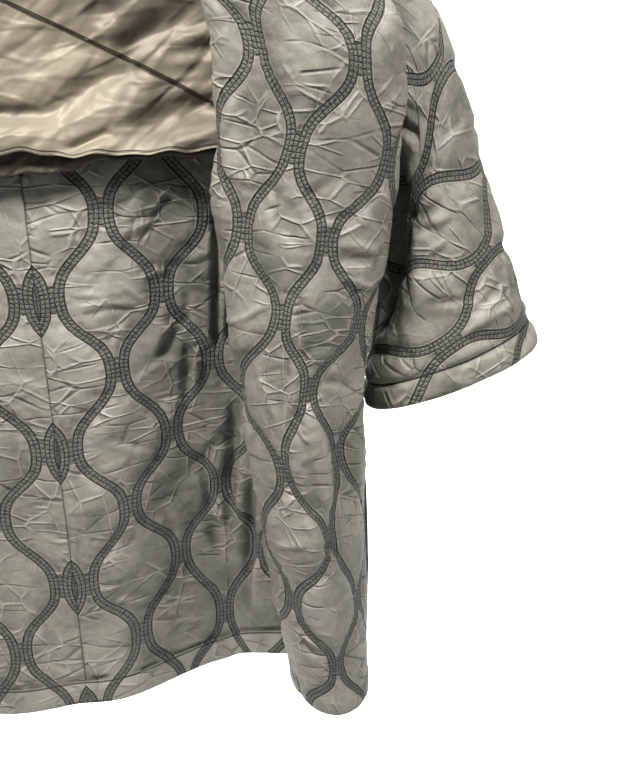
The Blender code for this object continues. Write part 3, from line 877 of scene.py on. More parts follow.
def front_surface(u, v, side):
    """Outer face of one front: u from the side to the edge, v from the top to the hem."""
    rows = [front_top(u)] + [front_section(row, u) for row in FRONT_SECTIONS.values()]
    points = spline(SECTION_SHARES, rows, v)
    for fold in FRONT_FOLDS.values():
        reach = swell(points[..., 2] - fold.z_middle, fold.half_height)
        points[..., 1] += fold.depth * reach * swell(u - fold.share, fold.half_width)
    points[..., 0] *= side
    return points


FRONT_COLUMNS = 104
FRONT_ROWS = 310
FRONT_SEED = 21
FRONT_KISS_MARKS = (
    KissMark(253, 42, 0, 0.0), KissMark(242, 230, 0, 1.0), KissMark(240, 390, 0, 2.0),
    KissMark(295, 150, -1, 0.5), KissMark(281, 320, -1, 1.5), KissMark(283, 472, -1, 2.5),
    KissMark(292, 603, -1, 3.5), KissMark(362, 62, -2, 0.0), KissMark(326, 245, -2, 1.0),
    KissMark(309, 392, -2, 2.0), KissMark(331, 540, -2, 3.0), KissMark(339, 668, -2, 4.0),
    KissMark(390, 165, -3, 0.5), KissMark(360, 325, -3, 1.5), KissMark(339, 460, -3, 2.5),
    KissMark(358, 602, -3, 3.5),
)
FRONT_CREASE_MARKS = {
    "edge_fold": CreaseMark(224, 178, 248, 179, 0.0018, 0.0030),
    "edge_fold_end": CreaseMark(245, 179, 259, 188, 0.0016, 0.0030),
    "crest_trough": CreaseMark(277, 188, 279, 236, -0.0030, 0.0040),
    "crest_slant": CreaseMark(287, 198, 288, 234, -0.0026, 0.0038),
    "crest_slant_end": CreaseMark(288, 228, 306, 258, -0.0026, 0.0034),
    "crest_short": CreaseMark(296, 214, 297, 238, -0.0018, 0.0034),
    "kiss_fold": CreaseMark(318, 220, 344, 220, -0.0018, 0.0030),
    "roll_fold": CreaseMark(226, 322, 240, 323, 0.0018, 0.0028),
    "roll_fold_end": CreaseMark(240, 323, 269, 305, 0.0022, 0.0028),
    "crest_soft": CreaseMark(299, 293, 304, 341, -0.0022, 0.0046),
    "crest_low": CreaseMark(306, 340, 309, 373, -0.0016, 0.0034),
    "roll_low": CreaseMark(232, 356, 239, 394, 0.0018, 0.0034),
}
FRONT_CREASES = {
    "flank_upper": Crease(0.110, 0.047, 0.070, 0.060, 0.0024, 0.0038),
    "flank_middle": Crease(0.110, 0.062, 0.072, 0.066, -0.0024, 0.0040),
    "flank_lower": Crease(0.104, 0.077, 0.066, 0.092, 0.0024, 0.0040),
    "flank_curl": Crease(0.097, 0.168, 0.060, 0.184, -0.0022, 0.0034),
    "second_fold": Crease(0.108, 0.186, 0.074, 0.300, 0.0052, 0.0080),
    "hip_fold": Crease(0.090, 0.330, 0.060, 0.352, -0.0024, 0.0040),
    "low_fold": Crease(0.140, 0.330, 0.104, 0.322, 0.0018, 0.0034),
    "hem_fold": Crease(0.122, 0.430, 0.090, 0.446, -0.0020, 0.0038),
}
quilting_front = quilted_nylon("quilting_front")
seen_front = seen_cloth(*body_panel(front_surface, MARK_U, MARK_V, 1), way=1)
front_kisses = marked_kisses(seen_front, FRONT_KISS_MARKS)
front_creases = marked_creases(seen_front, FRONT_CREASE_MARKS) + list(FRONT_CREASES.values())
for hand, side in SIDES:
    u = np.linspace(0, 1, FRONT_COLUMNS + 1)
    v = np.linspace(0, 1, FRONT_ROWS + 1)
    points, (across, down) = body_panel(front_surface, u, v, side)
    pattern = laid_pattern(across, down, front_kisses)
    faces, wear_and_shade = quilted_faces(
        points, side, (across, down), pattern,
        {"first": "turned", "last": "free", "top": "turned", "bottom": "free"},
        seed=FRONT_SEED + side, outside=front_creases)
    uv_maps = {"pattern": pattern, "edge": (across, down[-1:] - down)}
    piece = lay_cloth(f"quilted_front_{hand}", faces, side, uv_maps, wear_and_shade)
    sewn_in(piece, f"front_{hand}", quilting_front)

# Side strips, two. Black rib knit let in between back and front from the underarm to the hem, so
# that the sides give when the wearer moves. It is sewn to both panels along its length.
STRIP_COLUMNS = 14
STRIP_ROWS = 200
KNIT_HALF = 0.0012
RIB = 0.0032
LOOP_SHARE = 0.35
KNIT_RELIEF = 0.0004
KNIT_STEP = (-1.0, 1.2)
KNIT_DARK = (0.006, 0.006, 0.006, 1)
KNIT_LIGHT = (0.022, 0.022, 0.022, 1)
KNIT_ROUGHNESS = 0.9
KNIT_SHEEN = 0.25


def side_strip_surface(u, v, side):
    """Side strip, from the back's side edge (0) to the front's (1)."""
    back_edge = back_surface(np.array([1.0]), v, side)
    front_edge = front_surface(np.array(FRONT_SHARES), v, side)[:, :1]
    return back_edge + u[None, :, None] * (front_edge - back_edge)


def rib_knit():
    """Black rib knit, with its ribs down the strip."""
    material, tree, shader = plain_material("rib_knit")
    across, down = parts(uv_socket(tree, "pattern"))
    ribs = maths("SINE", times(across, 2 * np.pi / RIB))
    loops = maths("SINE", times(down, 2 * np.pi / (RIB / 2)))
    height = times_plus(loops, LOOP_SHARE, ribs)
    # the ribs and loops are lighter on their crests and darker in the grooves, as painted light and shade
    colour = mix_node(step_node(height, *KNIT_STEP), KNIT_DARK, KNIT_LIGHT)
    finish_cloth(shader, colour, KNIT_ROUGHNESS, KNIT_SHEEN, times(height, KNIT_RELIEF))
    return material


knit = rib_knit()
for hand, side in SIDES:
    u = np.linspace(0, 1, STRIP_COLUMNS + 1)
    v = np.linspace(UNDERARM_SHARE, 1, STRIP_ROWS + 1)
    points = side_strip_surface(u, v, side)
    across, down = cut_lengths(points, 0)
    _, depth, roll = edge_shape(
        points, {"first": "turned", "last": "turned", "top": "turned", "bottom": "free"})
    normals = surface_normals(points, side)
    middle = WALL / 2 * depth
    half = KNIT_HALF * roll
    faces = [points + normals * (way * half - middle)[..., None] for way in (1, -1)]
    piece = lay_cloth(f"knit_strip_{hand}", faces, side, {"pattern": (across, down)})
    sewn_in(piece, f"side_strip_{hand}", knit)

# Sleeves, two. Wide and three-quarter long, each from one piece of the same quilted cloth with its
# seam under the arm. It is set into the armhole, and its cuff is turned up and stitched round once.
SleeveSection = namedtuple("SleeveSection", "x_outer z_outer x_inner z_inner half_depth y_middle")
SLEEVE_SECTIONS = {
    "head": SleeveSection(0.383, -0.190, 0.346, -0.372, 0.050, 0.006),
    "elbow": SleeveSection(0.426, -0.325, 0.334, -0.440, 0.059, 0.006),
    "forearm": SleeveSection(0.454, -0.424, 0.323, -0.502, 0.062, 0.004),
    "cuff": SleeveSection(0.480, -0.504, 0.316, -0.560, 0.062, 0.002),
}
SLEEVE_SHARES = (0.0, 0.28, 0.55, 0.78, 1.0)
ARMHOLE_CELLS = 76
SLEEVE_ROWS = 142
SLEEVE_SEED = 31
CUFF_HEM = 0.024
CUFF_GROOVE = 0.0035
SLEEVE_KISS_MARKS = (
    KissMark(440, 72, -4, 1.0), KissMark(375, 95, -5, 0.5), KissMark(415, 187, -3, 0.5),
    KissMark(400, 266, -2, 0.0), KissMark(483, 258, -1, 0.5), KissMark(448, 345, 0, 0.0),
    KissMark(524, 322, 1, 0.5), KissMark(370, 345, -1, -0.5),
)
SLEEVE_CREASE_MARKS = {
    "upper_pocket": CreaseMark(391, 72, 402, 64, -0.0040, 0.0060),
    "upper_slant": CreaseMark(405, 95, 424, 110, 0.0018, 0.0036),
    "elbow_slant": CreaseMark(440, 140, 461, 115, -0.0024, 0.0036),
    "kiss_tuck": CreaseMark(425, 165, 441, 168, -0.0022, 0.0034),
    "bow": CreaseMark(402, 204, 420, 219, -0.0034, 0.0046),
    "bow_rise": CreaseMark(418, 219, 443, 203, -0.0032, 0.0044),
    "middle_fold": CreaseMark(411, 229, 440, 226, -0.0030, 0.0040),
    "middle_ridge": CreaseMark(428, 228, 450, 214, 0.0024, 0.0040),
    "lit_fold": CreaseMark(428, 252, 446, 240, 0.0020, 0.0034),
    "long_fold": CreaseMark(426, 302, 482, 297, -0.0022, 0.0032),
    "tick": CreaseMark(454, 274, 460, 290, -0.0016, 0.0030),
    "low_slant": CreaseMark(463, 332, 512, 301, 0.0026, 0.0040),
    "low_slant_upper": CreaseMark(470, 316, 500, 285, -0.0024, 0.0040),
    "cuff_tuck": CreaseMark(402, 349, 418, 371, -0.0024, 0.0034),
    "cuff_tick": CreaseMark(428, 355, 446, 366, -0.0020, 0.0030),
    "hem_lift": CreaseMark(450, 378, 476, 392, 0.0018, 0.0034),
    "inner_fold": CreaseMark(400, 265, 414, 306, -0.0026, 0.0044),
}
# Other creases of a sleeve: across back from its last column, and up from the cuff
SLEEVE_CREASES = {
    "lower_pocket": Crease(-0.078, -0.253, -0.108, -0.231, -0.0050, 0.0064),
    "underarm_tuck": Crease(-0.040, -0.235, -0.022, -0.070, -0.0160, 0.0220),
    "outer_drag": Crease(-0.250, -0.240, -0.210, -0.190, -0.0030, 0.0050),
    "outer_fold": Crease(-0.300, -0.160, -0.250, -0.140, 0.0024, 0.0044),
    "rear_drag": Crease(-0.360, -0.250, -0.400, -0.200, -0.0030, 0.0050),
    "rear_fold": Crease(-0.340, -0.110, -0.400, -0.090, -0.0026, 0.0044),
}


def sleeve_surface(rows, side):
    """Outer face of a sleeve, from the armhole's line to the cuff, round from its underarm seam."""
    v = np.linspace(0, UNDERARM_SHARE, ARMHOLE_CELLS + 1)
    back_line = back_surface(np.array([1.0]), v, side)[:, 0]
    front_line = front_surface(np.array(FRONT_SHARES), v, side)[:, 0]
    underarm = (back_line[-1:] + front_line[-1:]) / 2
    armhole = np.concatenate([underarm, back_line[::-1], front_line[1:], underarm])
    turn = np.linspace(0, 2 * np.pi, len(armhole))
    rings = [armhole]
    for row in SLEEVE_SECTIONS.values():
        outer = np.array((row.x_outer, row.y_middle, row.z_outer))
        inner = np.array((row.x_inner, row.y_middle, row.z_inner))
        ring = (outer + inner) / 2 - np.cos(turn)[:, None] * (outer - inner) / 2
        ring = ring + np.sin(turn)[:, None] * np.array((0, row.half_depth, 0))
        ring[:, 0] *= side
        rings.append(ring)
    return spline(SLEEVE_SHARES, rings, np.linspace(0, 1, rows + 1))


quilting_sleeve = quilted_nylon("quilting_sleeve", hem_line=CUFF_HEM)
marked = sleeve_surface(len(MARK_V) - 1, 1)
across, down = cut_lengths(marked, -1)
seen_sleeve = seen_cloth(marked, (across - across[:, -1:], down), way=1)
sleeve_kisses = marked_kisses(seen_sleeve, SLEEVE_KISS_MARKS)
sleeve_creases = marked_creases(seen_sleeve, SLEEVE_CREASE_MARKS) + list(SLEEVE_CREASES.values())
for hand, side in SIDES:
    points = sleeve_surface(SLEEVE_ROWS, side)
    across, down = cut_lengths(points, -1)
    from_seam = across - across[:, -1:]
    pattern = laid_pattern(from_seam, down, sleeve_kisses)
    stitched = 1 - np.exp(-((-down - CUFF_HEM) / CUFF_GROOVE)**2)
    faces, wear_and_shade = quilted_faces(
        points, side, (from_seam, down), pattern,
        {"first": "flat", "last": "flat", "top": "turned", "bottom": "free"},
        seed=SLEEVE_SEED + side, outside=sleeve_creases, kept=(stitched, 1.0))
    uv_maps = {"pattern": pattern, "edge": (across, -down)}
    piece = lay_cloth(f"quilted_sleeve_{hand}", faces, side, uv_maps, wear_and_shade)
    sewn_in(piece, f"sleeve_{hand}", quilting_sleeve)

# Hood, two halves. The same quilted cloth, sewn together down the middle and to the neckline. It
# lies down on the back: over its stand, down inside, and up again to the open face edge.
HoodLine = namedtuple("HoodLine", "nape_out nape_up throat_out throat_up")
HOOD_LINES = {
    "neck_seam": HoodLine(0.000, 0.000, 0.000, 0.000),
    "stand": HoodLine(0.007, 0.026, 0.002, 0.024),
    "break": HoodLine(0.019, 0.036, 0.009, 0.040),
    "fall": HoodLine(0.031, 0.006, 0.017, 0.034),
    "inner": HoodLine(0.030, -0.096, 0.021, 0.024),
    "floor": HoodLine(0.038, -0.196, 0.026, 0.018),
    "crown": HoodLine(0.066, -0.212, 0.033, 0.020),
    "outer": HoodLine(0.088, -0.120, 0.038, 0.028),
    "face_edge": HoodLine(0.078, 0.018, 0.038, 0.040),
}
HOOD_FALL_START = 0.35
HOOD_CENTRE_FORWARD = 0.05
HOOD_NECK_CELLS = 26
HOOD_ROWS = 150
HOOD_SEED = 41


def hood_surface(side):
    """Half of the lowered hood, from the neckline over its lines to the face edge."""
    neck_u = np.linspace(1, ROLL_SHARE, HOOD_NECK_CELLS + 1)
    nape_u = np.linspace(NECK_SHARE, 0, HOOD_NECK_CELLS + 1)
    front_line = front_top(neck_u)
    front_line[-1] = NECK_SIDE
    neckline = np.concatenate([front_line[:-1], back_top(nape_u)])
    neckline[HOOD_NECK_CELLS] = NECK_SIDE
    neckline[:, 0] *= side
    share = np.linspace(0, 1, len(neckline))
    to_nape = np.clip((share - HOOD_FALL_START) / (1 - HOOD_FALL_START), 0, 1)
    to_nape = (to_nape**2 * (3 - 2 * to_nape))[:, None]
    away = neckline * (1, 1, 0) + (0, HOOD_CENTRE_FORWARD, 0)
    away /= np.linalg.norm(away, axis=-1, keepdims=True)
    lines = []
    for line in HOOD_LINES.values():
        out = line.throat_out + (line.nape_out - line.throat_out) * to_nape
        up = line.throat_up + (line.nape_up - line.throat_up) * to_nape
        lines.append(neckline + away * out + up * np.array((0, 0, 1)))
    return spline(np.linspace(0, 1, len(lines)), lines, np.linspace(0, 1, HOOD_ROWS + 1))


for hand, side in SIDES:
    points = hood_surface(side)
    across, down = cut_lengths(points, 0)
    from_nape = across[:, -1:] - across
    pattern = (from_nape, down)
    faces, wear_and_shade = quilted_faces(
        points, side, (across, down), pattern,
        {"first": "free", "last": "flat", "top": "turned", "bottom": "free"}, seed=HOOD_SEED + side)
    uv_maps = {"pattern": pattern, "edge": (from_nape, down[-1:] - down)}
    piece = lay_cloth(f"quilted_hood_{hand}", faces, side, uv_maps, wear_and_shade)
    sewn_in(piece, f"hood_{hand}", quilting_back)

# Satin lining of the upper back: a yoke and a body joined by a bound V seam, and a second layer
# behind the body. It is sewn in at the top and sides, and its lower edge hangs free.
SATIN = 0.0012
SEAM_GAP = 0.0003
LINING_HALF_SHARE = 0.90
LINING_LENGTH = 0.318
LINING_STAND_OFF = 0.017
STAND_OFF_GROWTH = 1.3
LINING_FOLD_SHARE = 0.9
LINING_CLEARANCE = WALL + SATIN + 3 * SEAM_GAP
CHEVRON_APEX = 0.180
CHEVRON_FALL = 0.575
CHEVRON_END = 0.026
LINING_TOP_SHARE = 0.040
UNDER_LAYER_HEIGHT = 0.060
UNDER_LAYER_BEHIND = 0.008
UNDER_LAYER_DROP = 0.005
UNDER_LAYER_SAG = 0.017
UNDER_LAYER_SAG_WIDTH = 0.095
LINING_COLUMNS = 180
YOKE_ROWS = 76
LINING_BODY_ROWS = 46
UNDER_LAYER_ROWS = 24
HEIGHT_SAMPLES = 200
EDGE_KICK = 0.008
EDGE_KICK_FROM = 0.75
EdgeLift = namedtuple("EdgeLift", "x half_width height")
MIDDLE_LIFT = EdgeLift(0.0, 0.060, 0.005)
SIDE_LIFT = EdgeLift(0.21, 0.055, 0.007)
EdgeRipple = namedtuple("EdgeRipple", "height rate phase")
EDGE_RIPPLES = (EdgeRipple(0.0012, 95, 0.6), EdgeRipple(0.0009, 190, 0.0))
# Folds of the satin, by x and z
LINING_CREASES = {
    "yoke_trough": Crease(0.098, -0.232, 0.186, -0.184, -0.0100, 0.0120),
    "yoke_ridge": Crease(0.086, -0.216, 0.140, -0.180, 0.0060, 0.0120),
    "yoke_upper": Crease(0.074, -0.189, 0.118, -0.200, -0.0040, 0.0090),
    "side_wedge": Crease(0.150, -0.213, 0.196, -0.199, -0.0070, 0.0070),
    "side_wedge_low": Crease(0.140, -0.233, 0.196, -0.223, -0.0070, 0.0064),
    "side_tuck": Crease(0.150, -0.258, 0.198, -0.272, 0.0060, 0.0090),
    "wave_flat": Crease(-0.070, -0.279, 0.046, -0.281, -0.0125, 0.0085),
    "wave_rise": Crease(0.036, -0.284, 0.104, -0.238, -0.0086, 0.0105),
    "wave_end": Crease(0.086, -0.247, 0.134, -0.244, -0.0040, 0.0100),
    "wave_lip": Crease(0.010, -0.262, 0.078, -0.238, 0.0050, 0.0120),
    "low_sweep": Crease(0.080, -0.290, 0.140, -0.262, 0.0050, 0.0130),
    "edge_fold": Crease(0.044, -0.316, 0.092, -0.297, -0.0075, 0.0050),
    "dark_hollow": Crease(0.110, -0.300, 0.198, -0.274, -0.0090, 0.0150),
    "corner_lift": Crease(0.145, -0.308, 0.198, -0.298, 0.0050, 0.0080),
    "edge_roll": Crease(-0.110, -0.306, 0.044, -0.309, 0.0040, 0.0080),
    "shoulder_drag": Crease(0.020, -0.200, 0.110, -0.150, 0.0040, 0.0160),
    "far_wave": Crease(-0.190, -0.262, -0.060, -0.286, -0.0080, 0.0110),
    "far_trough": Crease(-0.190, -0.190, -0.104, -0.232, -0.0080, 0.0120),
    "far_wedge": Crease(-0.196, -0.236, -0.150, -0.226, -0.0060, 0.0070),
    "far_lip": Crease(-0.150, -0.246, -0.070, -0.256, 0.0050, 0.0120),
    "far_edge": Crease(-0.150, -0.300, -0.110, -0.308, -0.0040, 0.0060),
    "nape_hang": Crease(-0.050, -0.080, 0.006, -0.160, -0.0044, 0.0140),
    "nape_hang_left": Crease(0.080, -0.080, 0.040, -0.165, 0.0040, 0.0150),
}


def share_at_height(u, side, z):
    """How far down the back's length a height lies, on the column at u."""
    shares = np.linspace(0, 1, HEIGHT_SAMPLES)
    heights = back_surface(np.array([u]), shares, side)[:, 0, 2]
    return np.interp(-z, -heights, shares)


def inside_back(columns, tops, bottoms, rows):
    """Grid of points on the back's outer face between two heights, for what hangs inside it."""
    points = []
    for u, top, bottom in zip(columns, tops, bottoms):
        side = 1 if u >= 0 else -1
        first = share_at_height(abs(u), side, top)
        last = share_at_height(abs(u), side, bottom)
        points.append(back_surface(np.array([abs(u)]), np.linspace(first, last, rows + 1), side)[:, 0])
    return np.stack(points, axis=1)


def back_line(columns, share):
    """Points of the whole back at one share of its length, right half at negative columns."""
    halves = [back_surface(np.abs(columns), np.array([share]), side)[0] for side in (1, -1)]
    return np.where((columns >= 0)[:, None], *halves)


SATIN_PATCH = Noise(14.0, 4.0, 0.55, 0.5)
SATIN_PATCH_TONE = 0.65
SATIN_PATCH_DEPTH = 0.0022
FINE = Noise(60.0, 4.0, 0.55, 0.4)
FINE_TONE = 0.35
FINE_DEPTH = 0.0007
SatinWrinkle = namedtuple("SatinWrinkle", "slant stretch depth")
SATIN_WRINKLES = (
    SatinWrinkle(40, (0.11, 0.2, 0.034), -0.0016),
    SatinWrinkle(28, (0.08, 0.2, 0.026), 0.0011),
    SatinWrinkle(-4, (0.09, 0.2, 0.020), 0.0006),
)
WRINKLE = Noise(1.0, 1.0, 0.4, 0.3)
WRINKLE_STEP = (0.13, 0.0)


def satin_group():
    """Mottled tone and hanging wrinkles of the satin."""
    group = bpy.data.node_groups.new("hanging_satin", "ShaderNodeTree")
    place = group.nodes.new("ShaderNodeTexCoord").outputs["Object"]
    patch = noise_node(place, SATIN_PATCH)
    fine = noise_node(place, FINE)
    tone = times_plus(fine, FINE_TONE, times(patch, SATIN_PATCH_TONE))
    height = times_plus(patch, SATIN_PATCH_DEPTH, times(fine, FINE_DEPTH))
    for slant, stretch, depth in SATIN_WRINKLES:
        turned = outputs_of(group, "ShaderNodeMapping", {
            "Vector": place, "Rotation": (0, -np.radians(slant), 0), "Scale": stretch,
        }, vector_type="TEXTURE")["Vector"]
        wrinkle = noise_node(turned, WRINKLE)
        wrinkle = step_node(size_of(minus(wrinkle, 0.5)), *WRINKLE_STEP)
        height = times_plus(wrinkle, depth, height)
    give_out(group, {"Tone": tone, "Height": height})
    return group


HANGING_SATIN = satin_group()
SATIN_STEP = (0.30, 0.72)
SATIN_TONES = ((0.118, 0.101, 0.073, 1), (0.168, 0.145, 0.106, 1))
# The under layer is the same satin, its tones darkened as painted shade
UNDER_LAYER_SHADED_TONES = ((0.015, 0.012, 0.009, 1), (0.029, 0.024, 0.017, 1))
SATIN_ROUGHNESS = 0.48
SATIN_SHEEN = 0.36
SATIN_SHEEN_TINT = (1.0, 0.90, 0.72, 1)
SEAM_TONE = (0.022, 0.019, 0.014, 1)
SEAM_SINK = 0.0012
WELT_ABOVE = 0.0034
WELT_BELOW = 0.0016
WELT_BLUR = 0.0006
ROLL_PAINTED_HIGHLIGHT = (0.300, 0.262, 0.195, 1)
ROLL_STEP = (0.0020, 0.0014)
ROLL_GROOVE = 0.0032
ROLL_GROOVE_STEP = (0.0012, 0.0004)
ROLL_GROOVE_SHARE = 0.75
LiningPiece = namedtuple(
    "LiningPiece", "tops bottoms rows behind cut area tones welt_at_top welt_at_bottom rolled_edge")


def satin_cloth(name, row):
    """Soft olive satin. Its bound seam and its rolled edge, with a painted highlight, are drawn where the
    piece has them.
    """
    material, tree, shader = plain_material(name)
    satin = group_outputs(tree, HANGING_SATIN)
    colour = mix_node(step_node(satin["Tone"], *SATIN_STEP), *row.tones)
    height = satin["Height"]
    from_top, from_bottom = parts(uv_socket(tree, "edge"))
    welts = ((row.welt_at_top, from_top, WELT_BELOW), (row.welt_at_bottom, from_bottom, WELT_ABOVE))
    for wanted, gap, reach in welts:
        if wanted:
            welt = step_node(gap, reach + WELT_BLUR, reach - WELT_BLUR)
            colour = mix_node(welt, colour, SEAM_TONE)
            height = times_plus(welt, -SEAM_SINK, height)
    if row.rolled_edge:
        groove = step_node(size_of(minus(from_bottom, ROLL_GROOVE)), *ROLL_GROOVE_STEP)
        colour = mix_node(times(groove, ROLL_GROOVE_SHARE), colour, SEAM_TONE)
        height = times_plus(groove, -SEAM_SINK, height)
        # a painted highlight along the rolled free edge
        colour = mix_node(step_node(from_bottom, *ROLL_STEP), colour, ROLL_PAINTED_HIGHLIGHT)
    shader.inputs["Specular Tint"].default_value = SATIN_SHEEN_TINT
    finish_cloth(shader, colour, SATIN_ROUGHNESS, SATIN_SHEEN, height)
    return material


lining_u = np.linspace(-LINING_HALF_SHARE, LINING_HALF_SHARE, LINING_COLUMNS + 1)
lining_x = back_line(lining_u, UNDERARM_SHARE)[:, 0]
sewn_edge = back_line(lining_u, LINING_TOP_SHARE)[:, 2]
free_edge = (-LINING_LENGTH + MIDDLE_LIFT.height * swell(lining_x - MIDDLE_LIFT.x, MIDDLE_LIFT.half_width)
             + SIDE_LIFT.height * swell(np.abs(lining_x) - SIDE_LIFT.x, SIDE_LIFT.half_width))
free_edge += sum(ripple.height * np.sin(ripple.rate * lining_x + ripple.phase) for ripple in EDGE_RIPPLES)
chevron = np.maximum(-CHEVRON_APEX - CHEVRON_FALL * np.abs(lining_x), free_edge + CHEVRON_END)
under_edge = free_edge - UNDER_LAYER_DROP - UNDER_LAYER_SAG * swell(lining_x, UNDER_LAYER_SAG_WIDTH)
LINING_PIECES = {
    "lining_yoke": LiningPiece(
        sewn_edge, chevron, YOKE_ROWS, 0.0, (0.680, 0.300), 0.124, SATIN_TONES,
        welt_at_top=False, welt_at_bottom=True, rolled_edge=False),
    "lining_body": LiningPiece(
        chevron, free_edge, LINING_BODY_ROWS, 0.0, (0.670, 0.145), 0.0450, SATIN_TONES,
        welt_at_top=True, welt_at_bottom=False, rolled_edge=True),
    "lining_under": LiningPiece(
        free_edge + UNDER_LAYER_HEIGHT, under_edge, UNDER_LAYER_ROWS, UNDER_LAYER_BEHIND,
        (0.675, 0.093), 0.049, UNDER_LAYER_SHADED_TONES,
        welt_at_top=False, welt_at_bottom=False, rolled_edge=False),
}
for name, row in LINING_PIECES.items():
    on_back = inside_back(lining_u, row.tops, row.bottoms, row.rows)
    fall = np.clip(-on_back[..., 2] / LINING_LENGTH, 0, 1)
    off = LINING_CLEARANCE + LINING_STAND_OFF * fall**STAND_OFF_GROWTH - row.behind
    folds = crease_heights(on_back[..., 0], on_back[..., 2], LINING_CREASES.values())
    kick = EDGE_KICK * np.clip((fall - EDGE_KICK_FROM) / (1 - EDGE_KICK_FROM), 0, 1)**2
    off = off + LINING_FOLD_SHARE * folds * fall + kick
    points = on_back - off[..., None] * np.array((0, 1, 0))
    faces = [points, points - np.array((0, SATIN, 0))]
    _, down = cut_lengths(points, 0)
    uv_maps = {"edge": (down, down[-1:] - down)}
    piece = lay_cloth(f"satin_{name}", faces, 1, uv_maps)
    sewn_in(piece, name, satin_cloth(f"satin_{name}", row))

# Hem facings, two. The back's own cloth turned up inside the hem and stitched along its top edge,
# where it puckers between the stitches.
FACING_HEIGHT = 0.030
FACING_SET_BACK = 0.0015
FACING = 0.0015
FACING_ROWS = 12
FACING_LIFT = 0.0022
FACING_CLEAR = 0.0006
FACING_BEHIND = 0.4
FACING_STITCH_IN = 0.0016
FACING_FADE = 1.2
BELLY = 0.0006
BELLY_CELL_SHARE = 0.5
BELLY_ENDS = (0.02, 0.98)
BELLY_ROUND = 0.6
TUCK = 0.0270
TUCK_DEPTH = 0.0006
TUCK_LIGHT_AND_SHADE = 0.6
TUCK_STRAY = 3.5
TUCK_STRAY_RATE = 47


def at_heights(values, from_hem, heights):
    """Values of the back, read at heights above its hem. The side's last column is left out."""
    return np.stack([
        np.interp(heights, from_hem[::-1, j], values[::-1, j]) for j in range(values.shape[1] - 1)
    ], axis=1)


quilting_facing = quilted_nylon("quilting_facing", hem_line=FACING_HEIGHT - FACING_STITCH_IN)
for hand, side in SIDES:
    points, across, down, (s, t) = backs[hand]
    from_hem = down[-1:] - down
    heights = np.linspace(FACING_HEIGHT, FACING_SET_BACK, FACING_ROWS + 1)
    on_back, normals = (
        np.stack([at_heights(values[..., axis], from_hem, heights) for axis in range(3)], axis=-1)
        for values in (points, surface_normals(points, side)))
    width, cut_s, cut_t = (at_heights(values, from_hem, heights) for values in (across, s, t))
    height = np.broadcast_to(heights[:, None], width.shape)
    tuck = np.sin(2 * np.pi * width / TUCK + TUCK_STRAY * np.sin(width * TUCK_STRAY_RATE))
    tuck = tuck * np.sin(np.pi * height / FACING_HEIGHT)
    gap, _ = onion_bands(cut_s, cut_t)
    cell = 1 - np.exp(-gap / PUFF_RUN)
    belly = np.sin(np.pi * np.clip(height / FACING_HEIGHT, *BELLY_ENDS))**BELLY_ROUND
    lift = WALL / 2 + STITCHED + FACING_CLEAR + FACING * FACING_BEHIND
    rise = lift + belly * (BELLY + FACING_LIFT * BELLY_CELL_SHARE * cell) + TUCK_DEPTH * tuck
    front = rise + FACING * (1 - FACING_BEHIND)
    faces = [on_back - normals * lift, on_back - normals * front[..., None]]
    uv_maps = {"pattern": (cut_s, cut_t), "edge": (width, height)}
    # the facing is toned lighter overall, with painted light and shade following its puckers
    wear_and_shade = [np.zeros_like(width), FACING_FADE + TUCK_LIGHT_AND_SHADE * tuck]
    piece = lay_cloth(f"quilted_facing_{hand}", faces, side, uv_maps, wear_and_shade)
    sewn_in(piece, f"hem_facing_{hand}", quilting_facing)

# Studio: a plain pale floor that bends up into a backdrop, under and behind the hanging garment. Soft
# light falls on it from both sides, and the camera looks down at it from a little above its middle.
FLOOR_LEVEL = -1.45
FLOOR_FRONT = -6.0
WALL_AT = 3.4
WALL_TOP = 4.0
BEND_RADIUS = 1.2
BEND_STEPS = 12
FLOOR_HALF_WIDTH = 7.0
PALE = (0.85, 0.85, 0.85, 1)
PALE_ROUGHNESS = 0.9
WHITE = (1, 1, 1, 1)
ROOM_LIGHT = 0.06
turn = np.linspace(0, np.pi / 2, BEND_STEPS + 1)
profile = np.concatenate([
    [(FLOOR_FRONT, FLOOR_LEVEL)],
    np.column_stack([WALL_AT - BEND_RADIUS + BEND_RADIUS * np.sin(turn),
                     FLOOR_LEVEL + BEND_RADIUS - BEND_RADIUS * np.cos(turn)]),
    [(WALL_AT, WALL_TOP)],
])
floor_mesh = bpy.data.meshes.new("floor")
sheet = bmesh.new()
bmesh.ops.create_grid(sheet, x_segments=1, y_segments=len(profile) - 1, size=0.5)
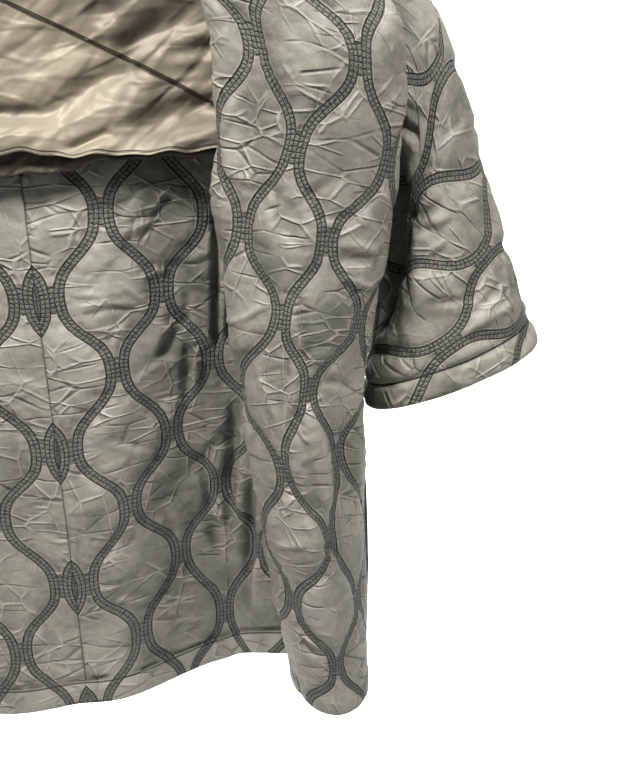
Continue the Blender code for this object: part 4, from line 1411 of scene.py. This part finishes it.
for corner in sheet.verts:
    y, z = profile[round((corner.co.y + 0.5) * (len(profile) - 1))]
    corner.co = (2 * FLOOR_HALF_WIDTH * corner.co.x, y, z)
sheet.to_mesh(floor_mesh)
sheet.free()
floor_mesh.shade_smooth()
floor = bpy.data.objects.new("floor", floor_mesh)
bpy.context.scene.collection.objects.link(floor)
pale, _, pale_shader = plain_material("pale_floor")
pale_shader.inputs["Base Color"].default_value = PALE
pale_shader.inputs["Roughness"].default_value = PALE_ROUGHNESS
floor_mesh.materials.append(pale)

world = bpy.data.worlds.new("studio")
world.use_nodes = True
world.node_tree.nodes["Background"].inputs["Color"].default_value = WHITE
world.node_tree.nodes["Background"].inputs["Strength"].default_value = ROOM_LIGHT
bpy.context.scene.world = world
bpy.context.scene.view_settings.view_transform = "Standard"

SoftBox = namedtuple("SoftBox", "place aim size power spread")
SOFT_BOXES = {
    "left_key": SoftBox((-0.95, -1.15, 1.75), (0.14, 0.03, -0.42), 0.5, 13.4, 50),
    "right_key": SoftBox((1.20, -1.30, 1.45), (0.20, 0.00, -0.42), 0.5, 9.3, 50),
    "side": SoftBox((-1.9, -1.1, 0.0), (0.15, 0.0, -0.50), 0.7, 1.0, 90),
    "backdrop": SoftBox((0.0, 1.2, 2.0), (0.0, 3.2, -0.6), 2.6, 400, 180),
}
for name, box in SOFT_BOXES.items():
    light = bpy.data.lights.new(name, "AREA")
    light.shape = "DISK"
    light.size = box.size
    light.energy = box.power
    light.spread = np.radians(box.spread)
    lamp = bpy.data.objects.new(name, light)
    lamp.location = box.place
    lamp.visible_camera = False
    aim = Vector(box.aim) - Vector(box.place)
    lamp.rotation_euler = aim.to_track_quat("-Z", "Y").to_euler()
    bpy.context.scene.collection.objects.link(lamp)

camera_data = bpy.data.cameras.new("camera")
camera_data.sensor_fit = "VERTICAL"
camera_data.sensor_height = SENSOR_HEIGHT
camera_data.lens = LENS
camera_data.clip_start = 0.01
camera = bpy.data.objects.new("camera", camera_data)
camera.location = CAMERA_PLACE
camera.rotation_euler = CAMERA_TURN.to_euler()
bpy.context.scene.collection.objects.link(camera)
bpy.context.scene.camera = camera
